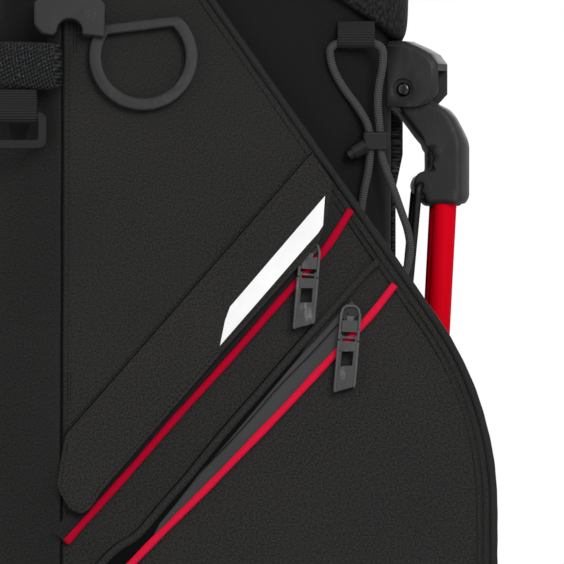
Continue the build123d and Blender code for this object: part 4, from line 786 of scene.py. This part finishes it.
def pocket_rims(side, name):
    """Covered cord down the pocket's free edge, with its sewn flange lying inside it."""
    route = edge_route(0.0, FACE_TOP_Z - 1.0, POCKET_BOTTOM_Z + 2.0, 520)
    run = np.arange(len(route))
    girth = 1 + 0.03 * np.sin(run * 0.55) + 0.03 * np.sin(run * 0.21)
    path, up = on_pocket(route, 0.0, side)
    sweep(f"rim_cord_{name}", path, oval(5.2, 5.2, 18) * girth[:, None, None], up, rim_cloth, f"pocket_rim_{name}")
    flange, up = on_pocket(edge_route(4.3, FACE_TOP_Z - 1.0, POCKET_BOTTOM_Z + 4.0, 420), -0.55, side)
    sweep(f"rim_flange_{name}", flange, oval(4.6, 1.5, 14, 3.0), up, bag_cloth)


def inner_welt():
    """Low rib inside the free edge, from the upper piping down round the lower pocket."""
    fade = np.minimum(np.arange(380) / 40.0, 1)[:, None, None]
    points, up = on_pocket(edge_route(9.2, 700.0, 150.0, 380), 0.1, -1)
    sweep("inner_welt", points, oval(3.0, 1.9, 12) * (0.35 + 0.65 * fade), up, bag_cloth)


# ---- Pipings, lip and flap ----
def face_band(name, line, profile, level, finish, side=-1, waver=0.0, node=None):
    """A strip laid along a line on a pocket's front, its corners softened."""
    route = respaced(softened(line), step=BAND_STEP)
    way = along(route)
    drift = waver * ripple(route[:, 0], route[:, 1], 60.0, 21)
    points, up = on_pocket(route + drift[:, None] * np.stack([-way[:, 1], way[:, 0]], 1), level, side)
    sweep(name, points, profile, up, finish, node)


def pipings():
    """Red covered cords: a nearly round bead with a flat sewn foot under it."""
    # The lower and right pipings get the lighter red copy as painted light.
    for name, line, side, finish in (
        ("upper", upper_piping_line, -1, red_weave),
        ("lower", lower_piping_line, -1, lit_red_weave),
        ("right", lower_piping_line, 1, lit_red_weave),
    ):
        run = np.arange(len(respaced(softened(line), step=BAND_STEP))) * BAND_STEP
        bead = oval(4.9, 4.0, 18, 2.2, 2.0) * (1 + 0.07 * ripple(run, 0.0, 26.0, 23))[:, None, None]
        face_band(f"red_piping_{name}", line, bead, 0.0, finish, side, 0.25, f"{name}_piping")


def strip_between(name, first, second, level, thick, finish, side, node):
    """Flat strip from one line on the front to another: each ring runs across it, over the top and back below."""
    first, second = (respaced(softened(line), count=160)[:, None] for line in (first, second))
    share = np.linspace(0, 1, 9)
    x, z = np.moveaxis(first + (second - first) * share[:, None], -1, 0)
    top, low = on_face(x, z, level + 0.3 * np.sin(np.pi * share)), on_face(x, z, level - thick)
    loft(name, np.concatenate([top, low[:, ::-1]], 1) * (1, -side, 1), finish, node)


fold_line = placed([
    (202.4, -181.4), (194.7, -187.8), (185.8, -198.0), (174.9, -210.8), (164.0, -222.3), (154.4, -233.2),
    (142.9, -246.0), (128.2, -262.6), (105.1, -289.5), (91.0, -306.8), (79.5, -320.9), (69.3, -331.8),
    (57.8, -345.8), (50.6, -354.6), (44.6, -359.4), (38.0, -362.6), (30.0, -369.4), (18.0, -382.4), (4.0, -397.6),
])
tape_upper = placed([
    (185.8, -205.7), (174.9, -217.2), (164.0, -229.4), (152.5, -241.5), (139.7, -256.9), (128.2, -270.3),
    (114.1, -287.0), (101.3, -301.7), (88.5, -316.4), (79.5, -327.3), (73.1, -335.6), (62.9, -347.8),
])
tape_middle = placed([
    (188.0, -210.5), (176.8, -221.7), (171.7, -226.8), (158.9, -240.9), (146.1, -253.7), (133.3, -267.2),
    (125.6, -276.7), (114.1, -289.5), (104.5, -299.8), (94.9, -309.4), (88.5, -316.0),
])


def lower_zips():
    """Coated tape in two halves on a strip of painted shade, which shows as a dark line where they meet and beside the
    roll, a folded cloth roll over the tape, and its shaded underfold.
    """
    roll = respaced(eased([(2.7, 0.0), (2.5, 2.0), (0.6, 3.3), (-1.5, 2.6), (-2.6, 0.9), (-2.6, 0.0)], 1.4),
                    count=24, closed=True)
    halves = (
        ("upper", tape_upper[:10], np.concatenate([tape_middle + (0.0, 0.35), tape_upper[9:10]])),
        ("lower", np.concatenate([tape_middle - (0.0, 0.25), tape_upper[9:] - (0, 0.4)]),
         lower_piping_line[1:4] + (0.3, -0.3)),
    )
    for side, name in SIDES:
        node, lip = ("lower_zip", "lower_zip_lip") if side < 0 else ("right_zip", None)
        # A dark strip under the tape and roll, painted shade that shows beside the roll and between the tape halves.
        strip_between(f"zip_shade_bed_{name}", fold_line[4:], lower_piping_line[2:] + (0.8, -0.8), 0.35, 0.7, fold_shade,
                      side, node)
        for half, first, second in halves:
            strip_between(f"zip_tape_{half}_{name}", first, second, 0.9, 0.6, coated_tape, side, node)
        face_band(f"zip_roll_{name}", fold_line, roll, 0.1, lit_flap_cloth, side, 0.3, lip)
        face_band(f"roll_seam_{name}", fold_line[4:] + (-2.4, 1.8), oval(0.9, 0.8, 8), -0.1, fold_shade, side, 0.3)


def storm_flap():
    """Thin flap on its rising plane: rolled edge, a doubled hem that stands a little higher, and a sewn groove."""
    def top(a, b, d):
        roll = rolled(d, 1.1)
        hem = 0.30 * (1 - smooth_step(d, 3.2, 5.5))
        soft = 0.18 * ripple(a, b, 46.0, 31) * smooth_step(d, 4, 12)
        return (roll - 1) * 0.9 + (hem - 0.22 * bell(d - 2.3, 0.55) + soft - 0.12) * roll

    def bottom(a, b, d):
        return np.maximum(-0.9 - 0.7 * rolled(d, 1.1), -flap_rise(a, b) - 0.3)

    corners = eased(flap_outline, 3.2)
    # The flap's lighter copy of the twill is painted light.
    quilted("storm_flap_cloth", respaced(corners, step=1.2, closed=True), placed([(28.0, -300.0), (149.0, -146.0)]),
            on_flap, top, bottom, lit_flap_cloth, "storm_flap",
            shares=(0.01, 0.03, 0.055, 0.085, 0.115, 0.15, 0.2, 0.27, 0.36, 0.5, 0.65, 0.82, 1.0))
    free = respaced(corners, step=1.0, closed=True)
    way = along(free, True)
    inset = free + 2.6 * np.stack([way[:, 1], -way[:, 0]], 1)
    keep = past_hem(inset[:, 0], inset[:, 1]) > 1.0
    first = int(np.argmax(keep & ~np.roll(keep, 1)))
    stitch(np.roll(inset, -first, 0)[: int(keep.sum())], on_flap, 3.2, 2.2, 0.10)


# ---- Strap side: ball pocket, straps, hip pad ----
def ball_pocket():
    """Rounded box on the strap side. Loops of a rounded rectangle go out from the body, round the edge, and in over a
    crowned front; how far in and how far out follow a quarter circle at the edge."""
    body_x, depth, edge = 118.0, 176.0, 14.0
    centre_z, half_y, half_z = 270.0, 72.0, 160.0
    turn = np.linspace(0, np.pi / 2, 9)
    steps = [(0.0, body_x + s * (depth - edge - body_x)) for s in np.linspace(0, 1, 12)]
    steps += [(edge * (1 - math.cos(t)), depth - edge + edge * math.sin(t)) for t in turn[1:]]
    steps += [(edge + s, depth) for s in np.linspace(2, 57, 24)]
    rings = []
    for inset, out in steps:
        loop = rounded_loop(half_y - inset, half_z - inset, max(22.0 - inset * 0.4, 4.0) if inset < 50 else 2.0, 220)
        y, z = loop[:, 0], loop[:, 1] + centre_z
        sides = (1 - smooth_step(inset, 0.0, 3.0)) * smooth_step(out, body_x + 8, depth - edge)
        sag = -1.2 * sides * (0.5 + 0.5 * ripple(y, z, 80.0, 41))
        near_zip = bell(z - 398.0, 16.0)
        crown = smooth_step(inset, 6, 40) * (1 - near_zip) * (3.2 + 1.0 * ripple(y, z, 110.0, 42))
        crown = (crown - 0.5 * near_zip - 0.4) * smooth_step(inset, 0, 14)
        radial = unit(loop)
        rings.append(stacked(-out - crown, y + radial[:, 0] * sag, z + radial[:, 1] * sag))
    loft("ball_pocket_skin", np.array(rings), bag_cloth, "ball_pocket")
    loop = rounded_loop(half_y - 4.0, half_z - 4.0, 20.0, 300)
    path = stacked(4.0 - depth, loop[:, 0], loop[:, 1] + centre_z)
    sweep("ball_pocket_piping", path, oval(4.2, 4.2, 14), stacked(-1.0, *(unit(loop) * 0.6).T), rim_cloth, None, True)


def carry_strap(side, name):
    """A shoulder strap: a crowned mesh pad with a bound edge, and a band that turns round to the side pocket."""
    centre = 36.0 * side
    node = f"shoulder_strap_{name}"
    loop = rounded_loop(28.0, 164.5, 18.0, 260)

    def on_back(y, z, level):
        return stacked(-152.0 - level, y, z)

    def top(a, b, d):
        channel = 0.9 * bell(np.abs(a - centre) - 13.0, 1.6) * smooth_step(d, 9, 14)
        lumps = 0.9 * smooth_step(d, 4, 14) + 0.3 * ripple(a, b, 60.0, 51)
        return -6.0 + rolled(d, 5.0) * (6.0 + lumps - channel)

    def bottom(a, b, d):
        return -6.0 - rolled(d, 5.0) * (5.7 + 0.2 * ripple(a, b, 70.0, 52))

    pad = quilted(f"strap_pad_{name}", loop + (centre, 634.5), [(centre, 500.0), (centre, 769.0)], on_back, top,
                  bottom, strap_mesh, node)
    sweep(f"strap_binding_{name}", on_back(loop[:, 0] + centre, loop[:, 1] + 634.5, -6.0), oval(8.6, 2.6, 14, 3.0),
          stacked(0.0, *unit(loop).T), strap_binding, None, True)
    plan = respaced(softened([(-86.5, -117.6), (-99.0, -107.5), (-116.0, -98.0), (-132.0, -84.0), (-144.0, -70.0),
                              (-146.2, -58.0), (-146.2, -44.0)]), step=2.0)
    path = stacked(plan[:, 0], plan[:, 1] * -side, 783.6 - 1.2 * smooth_step(plan[:, 0], -120.0, -88.0))
    share = np.linspace(0, 1, len(path))
    thick = 11.4 - 3.4 * (1 - smooth_step(share, 0.0, 0.16))
    tall = 30.4 - 2.6 * (1 - smooth_step(share, 0.0, 0.08))
    swell = 1 + 0.05 * ripple(share * 160, 0.0, 30.0, 53)
    shape = oval(1.0, 1.0, 36, 3.4) * stacked(thick * swell, tall)[:, None]
    sweep(f"strap_band_{name}", path, shape, (0, 0, 1), strap_mesh, node)


def folded_web(name, x, side, down, bar_at, start, up, profile, step, node):
    """Ribbed webbing in one plane: down through places (Y, Z), half round a bar, and back up behind itself."""
    turn = np.linspace(start, -np.pi, 18)
    wrap = np.stack([np.cos(turn), np.sin(turn)], 1) * WEB_TURN + bar_at
    line = respaced(softened([*down, *wrap, *up], 2), step=step)
    sweep(name, stacked(x, line[:, 0] * -side, line[:, 1]), profile, (1, 0, 0), webbing, node)


def strap_web(side, name):
    """Webbing that drops from the strap's band and wraps the loop's bar."""
    folded_web(f"strap_web_{name}", -113.0, side, [(-105.4, 767.4), (-105.1, 759.0)], (-109.0, 750.5), -0.15 * np.pi,
               [(-112.6, 754.0), (-110.0, 759.0), (-108.2, 767.4)], oval(1.7, 25.0, 20, 5.0), 0.8,
               f"strap_webbing_{name}")


def hip_cushion():
    """Thin mesh pad down the leg side, thicker in a roll near its top."""
    def on_leg_side(y, z, level):
        return stacked(taper(z, FOOT_X, BODY_X) + 0.35 + level, y, z)

    def top(a, b, d):
        bulge = np.interp(b, [380, 386, 705, 727, 749, 757], [1.0, 2.6, 2.8, 7.4, 7.4, 2.8])
        channels = 0.6 * bell((b - 560.0) % 36.0 - 18.0, 1.8) * (b < 700) * smooth_step(d, 4, 8)
        return rolled(d, 2.4) * (bulge - channels)

    pad = quilted("hip_cushion", rounded_loop(38.0, 188.2, 12.0, 300) + (0.0, 568.5), [(0.0, 420.0), (0.0, 718.0)],
                  on_leg_side, top, lambda a, b, d: 0.0 * d, strap_mesh, "hip_pad")


def divider_sheets():
    """Lined divider sheets between the wells, each slightly wavy, with its top edge drawn in under the cuff."""
    for name, half, place, order in (
        ("middle", 120.0, 0.0, [0, 1, 2]), ("rear", 87.0, -42.0, [1, 0, 2]), ("front", 87.0, 42.0, [1, 0, 2]),
    ):
        foot, body = (FOOT_X, BODY_X) if name == "middle" else (FOOT_Y, BODY_Y)
        rings = []
        for height in np.linspace(72.0, 843.0, 90):
            room = taper(height, foot, body) - (8.0 if height > 841.0 else 3.4)
            run = np.linspace(-min(half, room), min(half, room), 60)
            wave = place + 0.35 * ripple(run, height, 140.0, 61)
            front, back = (stacked(run, wave + off, height) for off in (0.75, -0.75))
            rings.append(np.concatenate([front, back[::-1]])[:, order])
        loft(f"divider_sheet_{name}", np.array(rings), lining, "divider_panels")


# ---- Pullers ----
PULLER_TURN = math.radians(-5.0)
PIN_DROP, PIN_LEVEL = 16.0, 6.4


def bar(hung, points, width, height, level):
    """A straight or bent bar with cut edges, laid through places (a, b) hung from a zip's post."""
    line = np.asarray(points, float)
    out = hung(0.0, 0.0, 1.0) - hung(0.0, 0.0, 0.0)
    return carried(hung(line[:, 0], line[:, 1], level), chamfered(width, height), out)


def plate(hung, rows, height, level):
    """A flat panel of rows (left, left height, right, right height), with cut edges above and below."""
    rings = []
    half, cut = height / 2, EDGE_CUT
    for left, left_b, right, right_b in rows:
        a = np.array([left, left + cut, right - cut, right, right, right - cut, left + cut, left])
        c = level + np.array([half - cut, half, half, half - cut, cut - half, -half, -half, cut - half])
        rings.append(hung(a, np.interp(a, (left, right), (left_b, right_b)), c))
    return np.array(rings)


def puller(name, hung, loop_body, tab_body, link=None, raised=0.0):
    """A pull tab: a loop round the slider's post with a bar for the hinge pin, and below it a framed tab with one
    window, whose panel is sunk between raised rails and whose end is cut on a slant. A raised tab is thinner and lies
    above its pin, so that it can pass over the next puller's loop."""
    pin_b, c = -PIN_DROP, PIN_LEVEL
    low_left, low_right = -51.6, -47.2
    rail, sunk = (3.0 - 0.65 * raised, c + raised), (2.2 - 0.6 * raised, c + raised)
    loop_bars = [
        ([(-6.0, -17.5), (-6.0, -1.0), (-5.2, 2.4), (-3.2, 4.4), (2.2, 4.8), (4.6, 3.0), (6.0, -1.0), (6.0, -17.5)],
         1.7, 1.2, 5.7),
        *[([(a, -11.0), (a, -17.6)], 1.8, 2.6, c - 0.1) for a in (-6.0, 6.0)],
        ([(-5.9, pin_b), (5.9, pin_b)], 1.4, 1.4, c),
    ]
    loop_plates = [([(-1.9, -9.0, 1.9, -9.0), (-2.4, -1.9, 2.4, -1.9)], 1.4, 5.85)] if link else []
    tab_bars = [
        ([(-6.1, -18.4), (-6.0, low_left + 1.2), (-5.4, low_left)], 1.9, *rail),
        ([(6.1, -18.4), (6.2, low_right + 1.6), (5.6, low_right)], 1.9, *rail),
        *[([(a, pin_b + 1.5), (a, -19.0)], 1.2, 2.6, c) for a in (-4.6, 4.6)],
    ]
    bridge = [([(-5.2, -12.6, 5.2, -12.2), (-5.2, -5.4, 5.2, -4.6)], 1.0, 6.85)]
    panel = [
        ([(-5.6, -25.4, 5.7, -24.4), (-5.6, -19.0, 5.7, -18.2)], *sunk),
        ([(-5.6, low_left + 0.1, 5.8, low_right), (-5.6, -35.2, 5.7, -33.4)], *sunk),
        ([(-5.6, -35.6, -3.6, -35.2), (-5.6, -24.8, -3.6, -24.6)], *sunk),
        ([(3.6, -34.0, 5.7, -33.6), (3.6, -24.6, 5.7, -24.4)], *sunk),
    ]
    # Loop and rails take the lighter plastic, a painted highlight on the raised parts.
    for part, bars, plates, finish, node, body in (
        ("loop", loop_bars, loop_plates, lit_puller_edge, link, loop_body),
        ("bridge", [], bridge, puller_plastic, link, loop_body),
        ("rails", tab_bars, [], lit_puller_edge, f"{name}_puller", tab_body),
        ("panel", [], panel, puller_plastic, f"{name}_puller", tab_body),
    ):
        shells = [bar(hung, *row) for row in bars] + [plate(hung, *row) for row in plates]
        merged(f"{name}_puller_{part}", shells, finish, node, body)


def pullers():
    """Four pullers: two on the left pocket's front, one on the right's, and one on the ball pocket."""
    out = (0, -math.cos(LEAN), math.sin(LEAN))
    across = (math.cos(PULLER_TURN), math.sin(PULLER_TURN) * math.sin(LEAN), math.sin(PULLER_TURN) * math.cos(LEAN))
    ways = np.array([across, np.cross(out, across), out])
    for name, post, side, raised, loop_body, link in (
        ("upper", (75.083, 663.63), -1, 1.2, "upper_link", "upper_link"),
        ("lower", (101.0, 623.3), -1, 0.0, "lower_link", "lower_link"),
        ("right", (101.0, 623.3), 1, 0.0, "right_slider", None),
    ):
        def hung(a, b, c, post=on_face(*post), side=side):
            return (post + stacked(a, b, c) @ ways) * (1, -side, 1)

        puller(name, hung, loop_body, f"{name}_puller", link, raised)
    puller("ball", lambda a, b, c: stacked(-176.0 - c, 44.0 - a, 398.0 + b), "ball_slider", "ball_puller")


# ---- Cord, its tab and the zips' fine parts ----
CORD_ROUTE = [
    (108.0, -95.0, 690.0), (109.6, -95.0, 702.5), (112.6, -95.2, 714.5), (113.9, -95.2, 727.0), (113.8, -95.2, 743.0),
    (106.5, -95.8, 756.0), (95.5, -97.0, 770.0), (88.2, -98.5, 784.5), (87.6, -99.6, 799.0), (121.6, -99.6, 799.0),
    (122.4, -98.5, 784.5), (119.3, -97.0, 771.0), (118.4, -96.0, 757.5), (120.1, -95.2, 743.5), (120.2, -95.2, 727.0),
    (124.5, -94.6, 714.5), (129.2, -93.6, 703.0), (133.6, -92.6, 690.0), (138.3, -92.2, 677.5), (140.0, -92.6, 664.0),
    (137.4, -95.0, 652.5), (134.5, -101.0, 642.0),
]


def elastic_cord():
    """Braided elastic cord: a tube whose radius swells at each strand of the braid, along the route's own spline."""
    curve = bpy.data.curves.new("cord_route", "CURVE")
    curve.dimensions = "3D"
    spline = curve.splines.new("NURBS")
    spline.points.add(len(CORD_ROUTE) - 1)
    for point, place in zip(spline.points, CORD_ROUTE):
        point.co = (*[v * MM for v in place], 1.0)
    spline.order_u, spline.use_endpoint_u, spline.resolution_u = 3, True, 24
    guide = shown("cord_route", curve)
    bpy.context.view_layer.update()
    line = bpy.data.meshes.new_from_object(guide)
    found = np.zeros(len(line.vertices) * 3)
    line.vertices.foreach_get("co", found)
    bpy.data.objects.remove(guide)
    step, pitch, diameter = 0.42, 3.4, 5.4
    path = respaced(found.reshape(-1, 3) / MM, step=step)
    turn = np.linspace(0, 2 * np.pi, 40, endpoint=False)
    run = np.arange(len(path))[:, None] * step
    strand = np.sin(4 * turn + run * 2 * np.pi / pitch) * np.sin(4 * turn - run * 2 * np.pi / pitch)
    radius = diameter / 2 * (0.955 + 0.045 * strand)
    tangent = along(path)
    up = np.zeros_like(path)
    up[0] = (0, -1, 0)
    for k in range(1, len(path)):
        up[k] = unit(up[k - 1] - (up[k - 1] @ tangent[k]) * tangent[k])
    side, up, turn = np.cross(tangent, up)[:, None], up[:, None], turn[None, :, None]
    rings = path[:, None] + radius[..., None] * (np.cos(turn) * side + np.sin(turn) * up)
    cord = loft("elastic_cord_braid", rings, cord_braid, "elastic_cord")
    tuple(v * MM for v in CORD_ROUTE[0])


def cord_loop_tab():
    """Webbing sewn to the body, folded down round the cord and back up."""
    folded_web("cord_loop_tab", 104.7, -1, [(-95.9, 811.5), (-95.8, 804.0)], (-99.6, 799.0), 0.0,
               [(-103.4, 804.5), (-99.6, 808.5), (-97.6, 811.5)], oval(1.6, 24.0, 20, 5.0), 0.7, "cord_tab")
    stitch([(94.0, 808.6), (115.4, 808.6)], lambda a, b, c: stacked(a, -99.9 - c, b), 2.6, 1.9)


# ---- Seams, stitch rows and tacks ----
def seam_lines():
    """Shaded seam folds: down the slanted corner of both pockets, and along the flap's sewn hem."""
    for side, name in SIDES:
        face_band(f"corner_seam_{name}", [(SEAM_X, 834.0), (SEAM_X, 118.0)], oval(1.5, 1.2, 10), -0.9, fold_shade,
                  side, 0.2)
    face_band("hem_seam", [seam_low, seam_high], oval(1.1, 1.0, 8), -0.1, fold_shade)


def stitch_front():
    """Rows of stitching on the left pocket's front, and on its mirror on the right pocket."""
    def front(side):
        return lambda a, b, level: on_face(a, b, front_relief(a, b, side) + level) * (1, -side, 1)

    left = front(-1)
    for side, _ in SIDES:
        stitch([(SEAM_X + 3.9, 833.0), (SEAM_X + 3.9, 130.0)], front(side))
        stitch(edge_route(6.6, 826.0, 125.0, 300), front(side), 3.4)
    fold_way = unit(seam_high - seam_low)
    fold_up = np.array((-fold_way[1], fold_way[0]))
    stitch([seam_low + 1.9 * fold_up, seam_high + 1.9 * fold_up], left, 3.0, 2.1)
    for x in (-80.4, -78.4):
        stitch([(x, 586.0), (x, 568.0)], left, 1.5, 1.3, 0.2)
        stitch([(x + 3.2, 811.0), (x + 3.2, 792.0)], left, 1.5, 1.3, 0.2)


# ---- Floor, light and camera ----
def stage():
    """Pale floor, soft lamps on both sides of the viewer, and a long lens level with the pocket. The world is plain
    white to the camera, to mirrors and through clear parts, and gives a weaker light to all else."""
    world = bpy.data.worlds.new("studio")
    bpy.context.scene.world = world
    world.use_nodes = True
    nodes, links = world.node_tree.nodes, world.node_tree.links
    background = nodes["Background"]
    background.inputs["Color"].default_value = (1, 1, 1, 1)
    rays = nodes.new("ShaderNodeLightPath").outputs
    seen = rays["Is Camera Ray"]
    for ray in ("Is Glossy Ray", "Is Transmission Ray"):
        either = nodes.new("ShaderNodeMath")
        either.operation = "MAXIMUM"
        links.new(seen, either.inputs[0])
        links.new(rays[ray], either.inputs[1])
        seen = either.outputs[0]
    strength = nodes.new("ShaderNodeMapRange")
    links.new(seen, strength.inputs[0])
    strength.inputs[3].default_value, strength.inputs[4].default_value = AMBIENT, 1.0
    links.new(strength.outputs[0], background.inputs["Strength"])
    floor_mesh = bpy.data.meshes.new("floor")
    floor_mesh.from_pydata([(-3, -3, 0), (3, -3, 0), (3, 3, 0), (-3, 3, 0)], [], [(0, 1, 2, 3)])
    floor = shown("floor", floor_mesh)
    pale = Finish("pale_floor", None, 0.9, 0.1)
    pale.set("Base Color", pale.mix(pale.noise(pale.where(), 6.0), (0.78, 0.78, 0.78, 1), (0.82, 0.82, 0.82, 1)))
    floor_mesh.materials.append(pale.material)
    for name, place, size, power in (
        ("key", (0.9, -2.6, 1.9), 1.5, 60.0),
        ("fill", (-1.9, -2.1, 1.2), 1.8, 5.0),
        ("rear", (0.6, 2.4, 1.8), 1.8, 26.0),
    ):
        lamp = bpy.data.lights.new(name, "AREA")
        lamp.shape, lamp.size, lamp.energy = "DISK", size, power
        holder = shown(name, lamp)
        holder.location = place
        aim = np.array((0.0, 0.0, 0.55)) - place
        flat = math.hypot(aim[0], aim[1])
        holder.rotation_euler = (math.atan2(flat, -aim[2]), 0, math.atan2(aim[1], aim[0]) - math.pi / 2)
    eye = bpy.data.cameras.new("viewer")
    eye.sensor_width, eye.lens = 36.0, 36.0 * (CAMERA_AWAY - 0.13) / FRAME_WIDTH
    viewer = shown("viewer", eye)
    viewer.location, viewer.rotation_euler = (VIEW_X, -CAMERA_AWAY, VIEW_Z), (math.pi / 2, 0, 0)
    bpy.context.scene.camera = viewer
    bpy.context.scene.view_settings.view_transform = "Standard"


AMBIENT = 0.36
FRAME_WIDTH, CAMERA_AWAY, VIEW_X, VIEW_Z = 0.36096, 5.0, 0.05695, 0.64388
ROUNDED = {
    "leg_bracket_left": 0.45, "leg_bracket_right": 0.45, "towel_ring": 0.5, "ring_connector": 0.7, "front_handle": 1.0,
    "rear_handle": 1.0, "boot": 0.8,
}

elastic_cord()
bag_shell()
padded_cuff()
for side, name in SIDES:
    for build in (side_pocket, pocket_rims, carry_strap, strap_web, leg_elbow):
        build(side, name)
for build in (inner_welt, pipings, lower_zips, storm_flap, ball_pocket, hip_cushion, divider_sheets, cord_loop_tab,
              pullers, seam_lines, stitch_front, sew, stage):
    build()
for solid, radius in ROUNDED.items():
    moulded_part(solid, radius)
